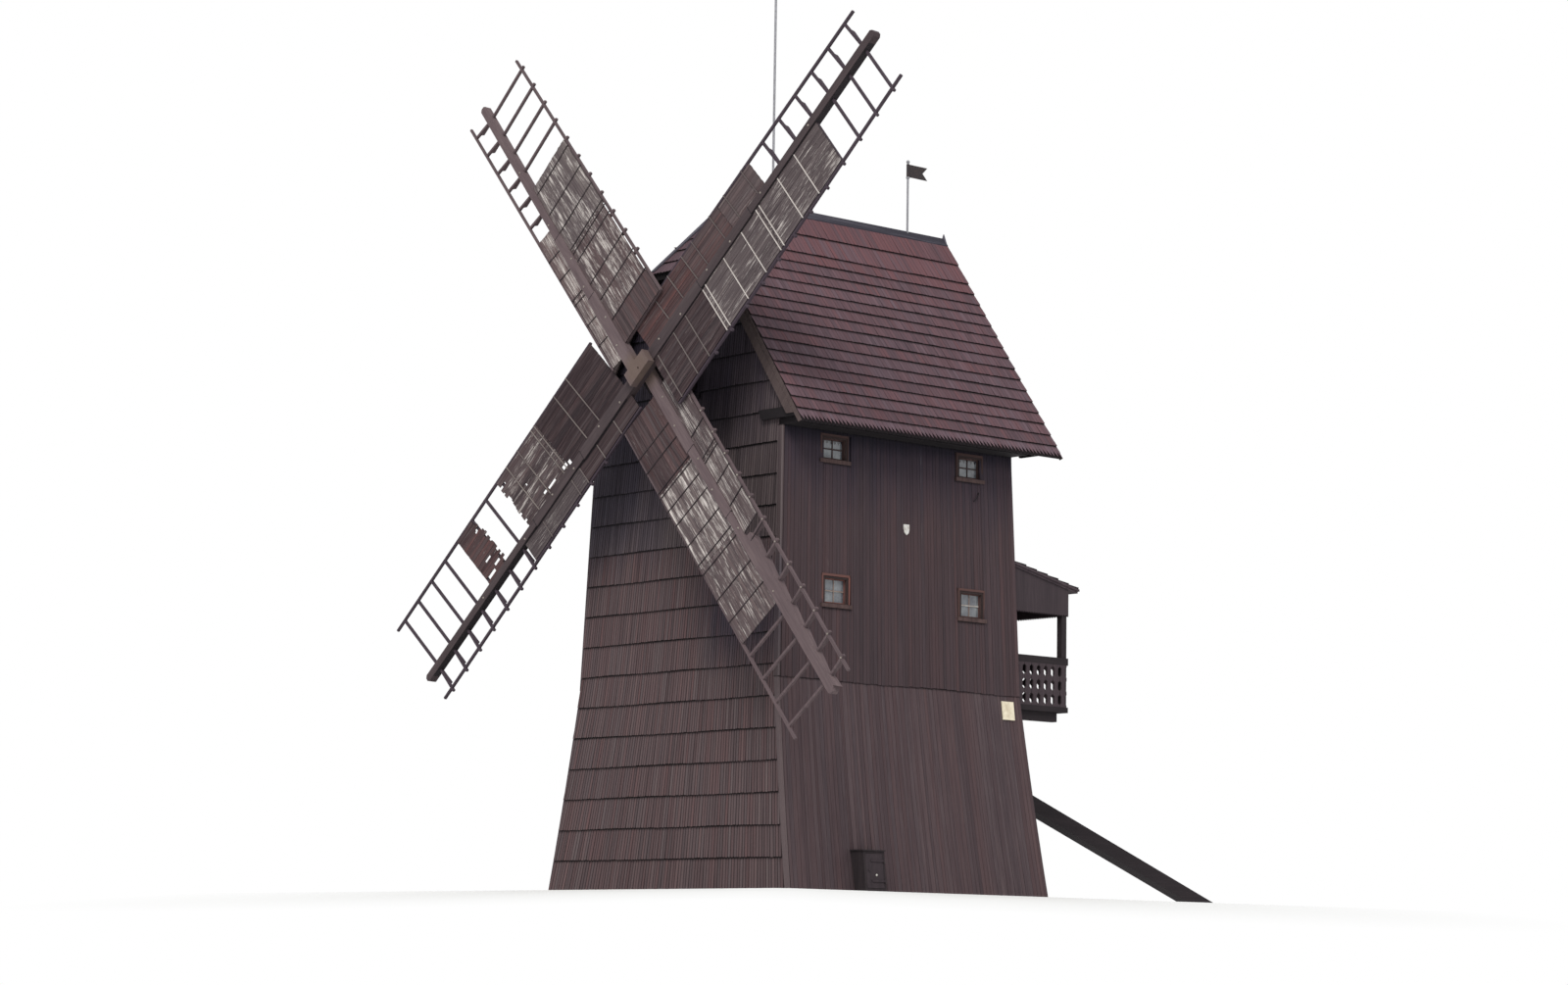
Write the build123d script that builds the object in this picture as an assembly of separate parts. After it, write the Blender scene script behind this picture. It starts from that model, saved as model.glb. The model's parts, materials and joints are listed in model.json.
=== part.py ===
from build123d import *
import math
import os

# A boarded post windmill with a flared skirt, a shingled half-hipped roof,
# a rear balcony, a tail pole and four latticed sails.
# The front, with the sails, faces -Y. Z is up, in millimetres, and the ground is at z = 0.
# Sizes along y are measured from the middle of the body, and each piece is then moved so that
# the origin lies under the middle of the front skirt wall.

# Body and skirt
LAP_Z = 3820.0                # height where the body boards lap over the skirt
WALL_TOP_Z = 8400.0           # top of the side walls, under the eaves plates
BODY_HALF_WIDTH = 2883.0      # outside half width at the lap
BODY_HALF_DEPTH = 3036.0      # outside half depth at the lap
SIDE_BATTER = 0.0319          # inward lean of the body's side walls
END_BATTER = 0.0298           # inward lean of the body's front and rear walls
SKIRT_FOOT_HALF_WIDTH = 3485.0
SKIRT_FOOT_HALF_DEPTH = 3233.0
SKIRT_BELL = 52.0             # how far the side skirt hollows in behind its chord
WALL_T = 120.0                # boards and framing together
BODY_TOP_HALF_WIDTH = BODY_HALF_WIDTH - SIDE_BATTER * (WALL_TOP_Z - LAP_Z)
BODY_TOP_HALF_DEPTH = BODY_HALF_DEPTH - END_BATTER * (WALL_TOP_Z - LAP_Z)

# Floors
FLOOR_T = 70.0
LOWER_FLOOR_Z = LAP_Z         # underside of the lower floor
UPPER_FLOOR_Z = 6550.0        # underside of the upper floor

# Windows in the side walls
WINDOW_W = 700.0
LOWER_WINDOW_H = 620.0
UPPER_WINDOW_H = 540.0
LOWER_WINDOW_Z = 5450.0       # centre height
UPPER_WINDOW_Z = 8070.0
FRONT_WINDOW_Y = -1680.0      # centre, measured from the middle of the wall
REAR_WINDOW_Y = 1770.0
WINDOW_FRAME_W = 85.0
WINDOW_FRAME_PROUD = 25.0
SILL_H = 70.0
SILL_PROUD = 60.0
SILL_HORN = 25.0              # how far the sill runs past the frame on each side
GLASS_SET_BACK = 45.0
GLASS_T = 6.0

# Roof
RIDGE_Z = 13140.0
EAVE_OUT = 600.0              # overhang past the side wall
EAVE_X = BODY_TOP_HALF_WIDTH + EAVE_OUT
EAVE_Z = 8411.0
EAVE_LIP = 16.0               # height of the blunt edge at the eave
EAVE_TAPER = 110.0            # width over which the slope thins to that edge
TOOTH_W = 95.0                # one pointed slat end at the eave
TOOTH_L = 150.0               # length of its point, along the slope
ROOF_T = 90.0
ROOF_FRONT_Y = -(BODY_TOP_HALF_DEPTH + 92.0)
ROOF_REAR_Y = BODY_TOP_HALF_DEPTH + 810.0
HIP_RIDGE_Y = ROOF_FRONT_Y + 1071.0   # front end of the ridge, at the top of the half hip
HIP_EAVE_Z = 11670.0
RIDGE_CAP_W = 190.0
RIDGE_CAP_T = 25.0
VERGE_STRIP_W = 80.0          # upper strip of the verge, over the edge of the shingles
VERGE_STRIP_T = 18.0
VERGE_BOARD_W = 235.0         # strip and board together
VERGE_BOARD_T = 34.0
VERGE_FOOT_Z = 8570.0         # level cut at the foot of the lower board
PLATE_H = 200.0               # eaves plate, from the wall top up
PLATE_OUT = 460.0             # how far the eaves plate stands out past the wall
PLATE_END_Z = 8520.0          # underside of the plate and its cross plank past the end walls
PLATE_END_IN = 60.0           # gap between the wall's line and the plate past the end walls
PLANK_H = 185.0
PLANK_T = 60.0
PLANK_IN_X = 2130.0           # inner end of the cross plank
PLANK_CUT = 90.0              # slant of that end

# Windshaft and its beams
HUB_Y = -(BODY_TOP_HALF_DEPTH + 1100.0)
HUB_Z = 9550.0
SHAFT_TILT = 3.0              # degrees, front end up
HEAD_SIDE = 560.0
HEAD_LENGTH = 620.0
SHAFT_R = 225.0               # across the corners of the hewn shaft
SHAFT_SIDES = 16
NECK_R = 190.0
TAIL_R = 90.0
FIT = 0.08                    # radial running clearance of a journal
END_PLAY = 0.3
SHAFT_HOLE_GAP = 40.0
JOURNAL_LAP = 20.0            # length of a journal past each side of its beam
BEAM_LAP = 60.0               # how far the neck beam reaches into the gable wall
BEAM_T = 300.0
BEAM_H = 620.0
TAIL_BEAM_Y = 300.0

# Sails
SAIL_TURN = 42.1              # degrees from level to the upper right arm
SAIL_LENGTH = 8400.0          # longest arm, from the hub
SAIL_WIDE = 1300.0            # usual reach of the boarded trailing side
SAIL_NARROW = 600.0           # usual reach of the leading side
STOCK_W = 250.0
STOCK_MIDDLE_W = 200.0
STOCK_TIP_W = 160.0
INNER_SPLICE = 2130.0         # where the timber steps from one width to the next
OUTER_SPLICE = 3900.0
TIP_CUT = 45.0                # chamfer on the corners of the tip
STOCK_T = 160.0
WHIP_T = 140.0
STEPS_FROM = 0.545            # start of the lower right whip's hewn steps, as a part of its length
STEP_W = 208.0                # its leading edge at the first step
STEP_TAPER = 0.0335           # narrowing of that edge along the whip
STEP_OUT = 45.0               # rise of each step
STEP_RUN = 80.0               # length of each rise
NOTCH_W = 150.0               # leading corner of the notched tip
NOTCH_FOOT_W = 35.0           # other end of the notch
NOTCH_DEEP = 70.0
HUB_BLOCK_UP = 400.0          # board over the hub: its reach from the hub's middle along the stock
HUB_BLOCK_DOWN = 250.0
HUB_BLOCK_DROP = 190.0        # and across it
HUB_BOLT_R = 22.0
HUB_BOLT_AT = (-74.0, -106.0)
BAR_W = 46.0
BAR_T = 50.0
BAR_TIP = 60.0                # how far a bar end may poke out past its lath
INNER_BAR = 500.0             # nearest that a bar comes to the hub
KNEE = 0.66                   # place of the knee of a leading bar, as a part of its reach
KNEE_DROP = 55.0              # how far the knee stands back
KNEE_NOTCH = 35.0
LATH_W = 45.0
LATH_END = 290.0              # lath past its outermost bar
PLAIN_BARS = 1500.0           # bars nearer the hub than this end at their lath
BOARD_T = 20.0
BOARD_GAP = 25.0              # between the boards and the stock
LATH_GAP = 12.0               # between the boards and the lath

# Rear balcony
BALCONY_HALF_WIDTH = BODY_HALF_WIDTH - 123.0
BALCONY_Y = BODY_HALF_DEPTH + 1454.0  # outer face
BALCONY_FLOOR_Z = 3640.0      # top of the balcony floor
BALCONY_FLOOR_T = 45.0
BALCONY_JOISTS = 4
JOIST_H = 195.0
JOIST_W = 140.0
JOIST_END = 235.0             # how far the joists stop short of the outer face
RAIL_Z = 4640.0               # top of the handrail
RAIL_H = 140.0
FOOT_RAIL_Z = 3585.0          # underside of the board round the floor's edge
FOOT_RAIL_H = 105.0
POST_SIDE = 130.0
PANEL_FOOT_Z = 5450.0
PANEL_TOOTH_W = 66.0          # saw teeth along the foot of the boarding
PANEL_TOOTH_H = 35.0
PANEL_T = 25.0
BALCONY_ROOF_WALL_Z = 6400.0
BALCONY_ROOF_DROP = 400.0
BALCONY_ROOF_OUT = 255.0
BALCONY_ROOF_T = 85.0
BALCONY_ROOF_REBATE = 25.0    # step between the two layers of the roof's edge
BALUSTER_W = 183.0
BALUSTER_WAIST = 92.0
BALUSTER_PITCH = 193.0
BALUSTER_FIRST = 130.0        # from the outer face to the first one's middle
BALUSTER_WAISTS = 3
WAIST_FLAT = 0.45             # straight part of a waist, as a part of its height
WAIST_LAND = 0.12             # full width left at each end of a waist's height
DOOR_W = 900.0
DOOR_H = 1900.0
DOOR_T = 45.0
DOOR_FRAME_W = 70.0
DOOR_FRAME_PROUD = 20.0

# Tail pole
TAIL_SLOPE = 0.3745
TAIL_TOP_Z = 4455.0           # height of the pole's top face carried on to y = 0
TAIL_W = 300.0
TAIL_H = 280.0
TAIL_HEAD_Y = BODY_HALF_DEPTH - 736.0
HANGER_L = 250.0
HANGER_DROP = 100.0           # how far the block hangs down past the pole's top face

# Hatch in the right skirt
HATCH_FRONT_Y = -1700.0
HATCH_REAR_Y = -1190.0
HATCH_FOOT_X = SKIRT_FOOT_HALF_WIDTH + 310.0
HATCH_LEAN = 7.4              # degrees that the leaf leans in at the top, as the skirt does
HATCH_TOP_Z = 730.0
HATCH_BOARD_T = 40.0
HATCH_LID_T = 22.0
HATCH_LID_OUT = 22.0
HATCH_SILL_H = 60.0
HATCH_DOOR_T = 28.0
DOOR_GAP = 6.0
KNOB_Z = 385.0
KNOB_IN = 60.0                # from the edge of the leaf to the knob
KNOB_R = 17.0
KNOB_STEM_R = 7.0
KNOB_OUT = 34.0
HINGE_IN = 130.0              # from the ends of the leaf to its hinges
HINGE_PIN_R = 8.0
HINGE_EYE_R = 14.0
HINGE_EYE_H = 40.0
HINGE_EYE_GAP = 2.0           # between the eyes and the box
PIN_FOOT_H = 24.0
PIN_STUB = 12.0               # pin left above its eye
STRAP_T = 8.0
STRAP_SEAT = 6.0              # pad between the strap and the leaf
STRAP_SHORT = 120.0           # how far a strap stops short of the free edge

# Vane and mast on the ridge
VANE_Y = ROOF_REAR_Y - 1020.0
VANE_TOP_Z = 14560.0          # top of the rod under its ball
VANE_FOOT_Z = 14290.0         # underside of the pennant
VANE_POLE_R = 22.0
VANE_L = 530.0
VANE_H = 260.0
VANE_T = 6.0
VANE_NOTCH = 130.0
SLEEVE_T = 9.0
COLLAR_OUT = 16.0
COLLAR_H = 30.0
BALL_R = 38.0
MAST_Y = HIP_RIDGE_Y + 1050.0
MAST_TOP_Z = 17300.0
MAST_R = 24.0

BIG = 12000.0
ROOF_SLOPE = (RIDGE_Z - EAVE_Z) / EAVE_X
ROOF_DROP = ROOF_T * math.hypot(1.0, ROOF_SLOPE)
HIP_SLOPE = (RIDGE_Z - HIP_EAVE_Z) / (HIP_RIDGE_Y - ROOF_FRONT_Y)
HIP_DROP = ROOF_T * math.hypot(1.0, HIP_SLOPE)


def half_width(z):
    """Outside half width of the body above the lap."""
    return BODY_HALF_WIDTH - SIDE_BATTER * (z - LAP_Z)


def half_depth(z):
    """Outside half depth: the body above the lap, the skirt below it."""
    if z >= LAP_Z:
        return BODY_HALF_DEPTH - END_BATTER * (z - LAP_Z)
    return BODY_HALF_DEPTH + (SKIRT_FOOT_HALF_DEPTH - BODY_HALF_DEPTH) * (LAP_Z - z) / LAP_Z


def prism_y(points, y0, y1):
    """Polygon given as (x, z) pairs, run from y0 to y1."""
    outline = Polyline(*[(x, y0, z) for x, z in points], close=True)
    return extrude(make_face(outline), amount=y1 - y0, dir=(0, 1, 0))


def prism_x(points, x0, x1):
    """Polygon given as (y, z) pairs, run from x0 to x1."""
    outline = Polyline(*[(x0, y, z) for y, z in points], close=True)
    return extrude(make_face(outline), amount=x1 - x0, dir=(1, 0, 0))


def block(x0, x1, y0, y1, z0, z1):
    """Box between two corners."""
    middle = ((x0 + x1) / 2, (y0 + y1) / 2, (z0 + z1) / 2)
    return Pos(*middle) * Box(abs(x1 - x0), abs(y1 - y0), abs(z1 - z0))


def side_arc(inset, side):
    """Bell curve of the skirt's side, moved in by inset, from the foot up to the lap."""
    foot = (side * (SKIRT_FOOT_HALF_WIDTH - inset), 0, 0)
    top = (side * (BODY_HALF_WIDTH - inset), 0, LAP_Z)
    middle = (SKIRT_FOOT_HALF_WIDTH + BODY_HALF_WIDTH) / 2 - SKIRT_BELL / 2 - inset
    return ThreePointArc(foot, (side * middle, 0, LAP_Z / 2), top)


def run_y(edges, reach):
    """Closed outline in the XZ plane, run both ways along Y."""
    return extrude(make_face(edges), amount=reach, dir=(0, 1, 0), both=True)


def skirt_mass(inset):
    """Full-depth solid between the two bell curves."""
    right = side_arc(inset, 1)
    left = side_arc(inset, -1)
    edges = [right, Line(right @ 1, left @ 1), left, Line(left @ 0, right @ 0)]
    return run_y(edges, BIG)


def skirt_side(side):
    """One side wall of the skirt, between the front and rear walls."""
    outer = side_arc(0, side)
    inner = side_arc(WALL_T, side)
    edges = [outer, Line(outer @ 1, inner @ 1), inner, Line(inner @ 0, outer @ 0)]
    foot = SKIRT_FOOT_HALF_DEPTH - WALL_T
    top = BODY_HALF_DEPTH - WALL_T
    between = prism_x([(-foot, 0), (foot, 0), (top, LAP_Z), (-top, LAP_Z)], -BIG, BIG)
    return run_y(edges, BIG) & between


def skirt_end(side):
    """Front or rear wall of the skirt, as wide as the bell."""
    foot = SKIRT_FOOT_HALF_DEPTH
    top = BODY_HALF_DEPTH
    outline = [(foot, 0), (top, LAP_Z), (top - WALL_T, LAP_Z), (foot - WALL_T, 0)]
    return prism_x([(side * y, z) for y, z in outline], -BIG, BIG) & skirt_mass(0)


def body_mass(inset, z0, z1):
    """The tapering body between two heights, with its sides moved in by inset."""
    across = prism_y(
        [
            (-half_width(z0) + inset, z0),
            (half_width(z0) - inset, z0),
            (half_width(z1) - inset, z1),
            (-half_width(z1) + inset, z1),
        ],
        -BIG,
        BIG,
    )
    along = prism_x(
        [
            (-half_depth(z0) + inset, z0),
            (half_depth(z0) - inset, z0),
            (half_depth(z1) - inset, z1),
            (-half_depth(z1) + inset, z1),
        ],
        -BIG,
        BIG,
    )
    return across & along


def window_places():
    """Centre y, centre z and height of the windows of one side wall."""
    return [
        (y, z, h)
        for y in (FRONT_WINDOW_Y, REAR_WINDOW_Y)
        for z, h in ((LOWER_WINDOW_Z, LOWER_WINDOW_H), (UPPER_WINDOW_Z, UPPER_WINDOW_H))
    ]


def side_wall(side):
    """Side wall of the body with its four window holes."""
    shell = body_mass(0, LAP_Z, WALL_TOP_Z) - body_mass(WALL_T, LAP_Z - 1, WALL_TOP_Z + 1)
    inner = half_depth(LAP_Z) - WALL_T
    top = half_depth(WALL_TOP_Z) - WALL_T
    between = prism_x([(-inner, LAP_Z), (inner, LAP_Z), (top, WALL_TOP_Z), (-top, WALL_TOP_Z)], 0, side * BIG)
    wall = shell & between
    for y, z, h in window_places():
        wall -= block(0, side * BIG, y - WINDOW_W / 2, y + WINDOW_W / 2, z - h / 2, z + h / 2)
    return wall


def end_wall(side):
    """Front or rear wall of the body, up to the wall top."""
    shell = body_mass(0, LAP_Z, WALL_TOP_Z)
    z0 = LAP_Z
    z1 = WALL_TOP_Z
    outline = [
        (side * half_depth(z0), z0),
        (side * half_depth(z1), z1),
        (side * (half_depth(z1) - WALL_T), z1),
        (side * (half_depth(z0) - WALL_T), z0),
    ]
    return shell & prism_x(outline, -BIG, BIG)


def window_frames(side):
    """Frames of one side wall, each set upright in its hole, with a sill that runs past it."""
    frames = []
    for y, z, h in window_places():
        outer = half_width(z) + WINDOW_FRAME_PROUD
        inner = half_width(z) - WALL_T
        foot = z - h / 2
        whole = block(side * inner, side * outer, y - WINDOW_W / 2, y + WINDOW_W / 2, foot, z + h / 2)
        w = WINDOW_W / 2 - WINDOW_FRAME_W
        v = h / 2 - WINDOW_FRAME_W
        sill_w = WINDOW_W / 2 + SILL_HORN
        sill = block(0, side * (half_width(foot) + SILL_PROUD), y - sill_w, y + sill_w, foot, foot + SILL_H)
        frames.append(whole + outside(sill) - block(0, side * BIG, y - w, y + w, z - v, z + v))
    return frames


def window_panes(side):
    """Glass of one side wall, one sheet in each frame."""
    panes = []
    for y, z, h in window_places():
        face = half_width(z) - GLASS_SET_BACK
        w = WINDOW_W / 2 - WINDOW_FRAME_W
        v = h / 2 - WINDOW_FRAME_W
        panes.append(block(side * (face - GLASS_T), side * face, y - w, y + w, z - v, z + v))
    return panes


def floor(z):
    """Boarded floor between the walls, with its underside at z."""
    return body_mass(WALL_T, z, z + FLOOR_T)


def roof_line(x, drop=0.0):
    """Height of the roof slope at x, lowered by drop."""
    return RIDGE_Z - drop - ROOF_SLOPE * abs(x)


def hip_line(y, drop=0.0):
    """Height of the front hip plane at y, lowered by drop."""
    return RIDGE_Z - drop + HIP_SLOPE * (y - HIP_RIDGE_Y)


def before_hip(drop):
    """Everything in front of and above the hip plane, lowered by drop."""
    y0 = ROOF_FRONT_Y - EAVE_X
    y1 = HIP_RIDGE_Y + EAVE_X
    return prism_x([(y0, hip_line(y0, drop)), (y1, hip_line(y1, drop)), (y0, hip_line(y1, drop))], -BIG, BIG)


def saw_edge(length, pitch, depth):
    """Zigzag of whole teeth from 0 to length, as (along, depth) pairs."""
    count = round(length / pitch)
    step = length / count
    points = []
    for i in range(count):
        points.append((i * step, 0.0))
        points.append(((i + 0.5) * step, depth))
    points.append((length, 0.0))
    return points


def eave_notches(side):
    """What is cut from the foot of a slope, so that pointed slat ends are left."""
    run = TOOTH_L * math.cos(math.atan(ROOF_SLOPE))
    z = EAVE_Z - ROOF_T
    outline = []
    for along, out in saw_edge(ROOF_REAR_Y - ROOF_FRONT_Y, TOOTH_W, run):
        outline.append((side * (EAVE_X - run + out), ROOF_FRONT_Y + along, z))
    outline.append((side * (EAVE_X + run), ROOF_REAR_Y, z))
    outline.append((side * (EAVE_X + run), ROOF_FRONT_Y, z))
    return extrude(make_face(Polyline(*outline, close=True)), amount=4 * ROOF_T, dir=(0, 0, 1))


def roof_slope(side):
    """One main slope, saw-toothed at the eave and trimmed under the half hip."""
    outline = [
        (0, RIDGE_Z),
        (side * EAVE_X, EAVE_Z),
        (side * EAVE_X, EAVE_Z - EAVE_LIP),
        (side * (EAVE_X - EAVE_TAPER), roof_line(EAVE_X - EAVE_TAPER, ROOF_DROP)),
        (0, RIDGE_Z - ROOF_DROP),
    ]
    return prism_y(outline, ROOF_FRONT_Y, ROOF_REAR_Y) - before_hip(HIP_DROP) - eave_notches(side)


def roof_hip():
    """The half hip at the front, between the outer faces of the slopes."""
    under = prism_y([(0, RIDGE_Z), (EAVE_X, EAVE_Z), (-EAVE_X, EAVE_Z)], ROOF_FRONT_Y, ROOF_REAR_Y)
    return (under & before_hip(HIP_DROP)) - before_hip(0)


def ridge_cap():
    """Folded board along the ridge."""
    drop = RIDGE_CAP_W * math.sin(math.atan(ROOF_SLOPE))
    out = drop / ROOF_SLOPE
    lift = RIDGE_CAP_T * math.hypot(1.0, ROOF_SLOPE)
    outline = [
        (0, RIDGE_Z),
        (out, RIDGE_Z - drop),
        (out, RIDGE_Z - drop + lift),
        (0, RIDGE_Z + lift),
        (-out, RIDGE_Z - drop + lift),
        (-out, RIDGE_Z - drop),
    ]
    return prism_y(outline, HIP_RIDGE_Y, ROOF_REAR_Y)


def verge_board(side, top_z, y, out):
    """One verge from its top height down to the eave: a strip, and a lower board cut level at its foot."""
    lean = math.hypot(1.0, ROOF_SLOPE)
    top_x = (RIDGE_Z - top_z) / ROOF_SLOPE
    strip_drop = VERGE_STRIP_W * lean
    board_drop = VERGE_BOARD_W * lean
    strip_foot_x = EAVE_X - VERGE_STRIP_W
    board_foot_x = (RIDGE_Z - board_drop - VERGE_FOOT_Z) / ROOF_SLOPE
    board_end_x = (RIDGE_Z - strip_drop - VERGE_FOOT_Z) / ROOF_SLOPE
    strip = [
        (top_x, top_z),
        (EAVE_X, EAVE_Z),
        (strip_foot_x, roof_line(strip_foot_x, strip_drop)),
        (top_x, top_z - strip_drop),
    ]
    board = [
        (top_x, top_z - strip_drop),
        (board_end_x, VERGE_FOOT_Z),
        (board_foot_x, VERGE_FOOT_Z),
        (top_x, top_z - board_drop),
    ]
    upper = prism_y([(side * x, z) for x, z in strip], y, y + out * VERGE_STRIP_T)
    lower = prism_y([(side * x, z) for x, z in board], y, y + out * VERGE_BOARD_T)
    return upper + lower


def front_verge_boards():
    """Boards on the front verge, below the half hip."""
    return [verge_board(side, HIP_EAVE_Z, ROOF_FRONT_Y, -1) for side in (1, -1)]


def rear_verge_boards():
    """Boards meeting under the ridge on the rear verge."""
    return verge_board(1, RIDGE_Z, ROOF_REAR_Y, 1) + verge_board(-1, RIDGE_Z, ROOF_REAR_Y, 1)


def cross_plank(side, y0):
    """Plank across the end of an eaves plate, with its inner end cut on a slant."""
    z1 = PLATE_END_Z + PLANK_H
    outline = [
        (PLANK_IN_X + PLANK_CUT, PLATE_END_Z),
        ((RIDGE_Z - ROOF_DROP - PLATE_END_Z) / ROOF_SLOPE, PLATE_END_Z),
        ((RIDGE_Z - ROOF_DROP - z1) / ROOF_SLOPE, z1),
        (PLANK_IN_X, z1),
    ]
    return prism_y([(side * x, z) for x, z in outline], y0, y0 + PLANK_T)


def eaves_plate(side):
    """Timber over the wall top that carries the foot of the roof, from verge to verge."""
    inner = BODY_TOP_HALF_WIDTH - WALL_T
    outer = BODY_TOP_HALF_WIDTH + PLATE_OUT
    top = WALL_TOP_Z + PLATE_H
    outline = [
        (inner, WALL_TOP_Z),
        (outer, WALL_TOP_Z),
        (outer, roof_line(outer, ROOF_DROP)),
        ((RIDGE_Z - ROOF_DROP - top) / ROOF_SLOPE, top),
        (inner, top),
    ]
    plate = prism_y([(side * x, z) for x, z in outline], ROOF_FRONT_Y, ROOF_REAR_Y)
    for y in (BODY_TOP_HALF_DEPTH, -BODY_TOP_HALF_DEPTH):
        end_y = math.copysign(BIG, y)
        plate -= block(0, side * BIG, y, end_y, 0, PLATE_END_Z)
        plate -= block(0, side * (BODY_TOP_HALF_WIDTH + PLATE_END_IN), y, end_y, 0, BIG)
    return plate + cross_plank(side, ROOF_FRONT_Y) + cross_plank(side, ROOF_REAR_Y - PLANK_T)


def gable(side):
    """Triangular wall above the wall top, under the slopes."""
    z0 = WALL_TOP_Z
    z1 = RIDGE_Z
    slab = prism_x(
        [
            (side * half_depth(z0), z0),
            (side * half_depth(z1), z1),
            (side * (half_depth(z1) - WALL_T), z1),
            (side * (half_depth(z0) - WALL_T), z0),
        ],
        -BIG,
        BIG,
    )
    inner = half_width(z0) - WALL_T
    step = z0 + PLATE_H
    outer = half_width(step)
    peak = RIDGE_Z - ROOF_DROP
    right = [(inner, z0), (inner, step), (outer, step), (outer, roof_line(outer, ROOF_DROP))]
    left = [(-x, z) for x, z in reversed(right)]
    return (slab & prism_y(right + [(0, peak)] + left, -BIG, BIG)) - before_hip(HIP_DROP)


SHAFT_PLANE = Plane(
    origin=(0, HUB_Y, HUB_Z),
    x_dir=(1, 0, 0),
    z_dir=(0, -math.cos(math.radians(SHAFT_TILT)), math.sin(math.radians(SHAFT_TILT))),
)


def shaft_rod(radius, z0, z1):
    """Round length of the windshaft between two places along its axis, 0 at the hub."""
    rod = Pos(0, 0, (z0 + z1) / 2) * Cylinder(radius, z1 - z0)
    return SHAFT_PLANE.location * rod


def hewn_shaft(radius, z0, z1):
    """Many-sided length of the windshaft between two places along its axis."""
    return SHAFT_PLANE.location * Pos(0, 0, z0) * extrude(RegularPolygon(radius, SHAFT_SIDES), amount=z1 - z0)


def along_shaft(y):
    """Place along the shaft's axis where it crosses the plane y."""
    return -(y - HUB_Y) / math.cos(math.radians(SHAFT_TILT))


HEAD_FRONT = -STOCK_T / 2 - WHIP_T
HEAD_BACK = HEAD_FRONT - HEAD_LENGTH
NECK_BEAM_Y = -(BODY_HALF_DEPTH - END_BATTER * (HUB_Z - LAP_Z)) + WALL_T


def neck_beam():
    """Cross beam behind the front gable that carries the neck journal."""
    y0 = NECK_BEAM_Y - BEAM_LAP
    y1 = NECK_BEAM_Y + BEAM_T
    return cross_beam(y0, y1, HUB_Z - BEAM_H / 2, NECK_R) - gable(-1)


def cross_beam(y0, y1, z0, journal):
    """Beam from slope to slope with a round bearing for the shaft."""
    z1 = z0 + BEAM_H
    low = (RIDGE_Z - ROOF_DROP - z0) / ROOF_SLOPE
    high = (RIDGE_Z - ROOF_DROP - z1) / ROOF_SLOPE
    beam = prism_y([(-low, z0), (low, z0), (high, z1), (-high, z1)], y0, y1)
    return beam - shaft_rod(journal + FIT, along_shaft(y1) - BEAM_T, along_shaft(y0) + BEAM_T)


def tail_beam():
    """Cross beam inside the roof that carries the tail journal."""
    y0 = TAIL_BEAM_Y
    z = HUB_Z - (TAIL_BEAM_Y - HUB_Y) * math.tan(math.radians(SHAFT_TILT))
    return cross_beam(y0, y0 + BEAM_T, z - BEAM_H / 2, TAIL_R)


def windshaft():
    """Square head, round neck journal, hewn body and tail journal."""
    neck_front = along_shaft(NECK_BEAM_Y - BEAM_LAP - JOURNAL_LAP)
    neck_back = along_shaft(NECK_BEAM_Y + BEAM_T + JOURNAL_LAP)
    tail_front = along_shaft(TAIL_BEAM_Y - JOURNAL_LAP)
    tail_back = along_shaft(TAIL_BEAM_Y + BEAM_T + 3 * JOURNAL_LAP)
    head = Rot(0, 0, SAIL_TURN) * Box(HEAD_SIDE, HEAD_SIDE, HEAD_LENGTH)
    head = SHAFT_PLANE.location * Pos(0, 0, (HEAD_FRONT + HEAD_BACK) / 2) * head
    shaft = head + hewn_shaft(SHAFT_R, neck_front, HEAD_BACK)
    shaft += shaft_rod(NECK_R, neck_back, neck_front)
    shaft += hewn_shaft(SHAFT_R, tail_front, neck_back)
    shaft += shaft_rod(TAIL_R, tail_back, tail_front)
    return shaft


class Arm:
    """One arm: its quarter turn, its place along the shaft, and its sizes as parts of the usual ones.

    Each side has a reach at the tip and at the hub, the degrees that it leans forward, and its boarded
    runs from and to, as parts of the arm's length. On one side the bars poke out past the lath."""

    def __init__(self, turn, place, length, first_bar, pitch, poking, wide, narrow, stepped=False):
        self.turn = turn
        self.poking = poking
        self.stepped = stepped
        self.place = place
        self.length = length * SAIL_LENGTH
        self.first_bar = first_bar * self.length
        self.pitch = pitch * self.length
        self.sides = {-1: self.side(wide, SAIL_WIDE), 1: self.side(narrow, SAIL_NARROW)}

    def side(self, sizes, usual):
        """One side's tip reach, hub reach, lean and boarded runs, in real sizes."""
        tip, root, lean, runs = sizes
        return tip * usual, root * usual, lean, [(a * self.length, b * self.length) for a, b in runs]

    def reach(self, side, s):
        """Outer edge of the lath at s along the arm."""
        tip, root = self.sides[side][:2]
        return root + (tip - root) * s / self.length

    def bars(self):
        """Places of the bars along the arm, from the tip inwards."""
        count = int((self.first_bar - INNER_BAR) / self.pitch) + 1
        return [self.first_bar - i * self.pitch for i in range(count)]


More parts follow.
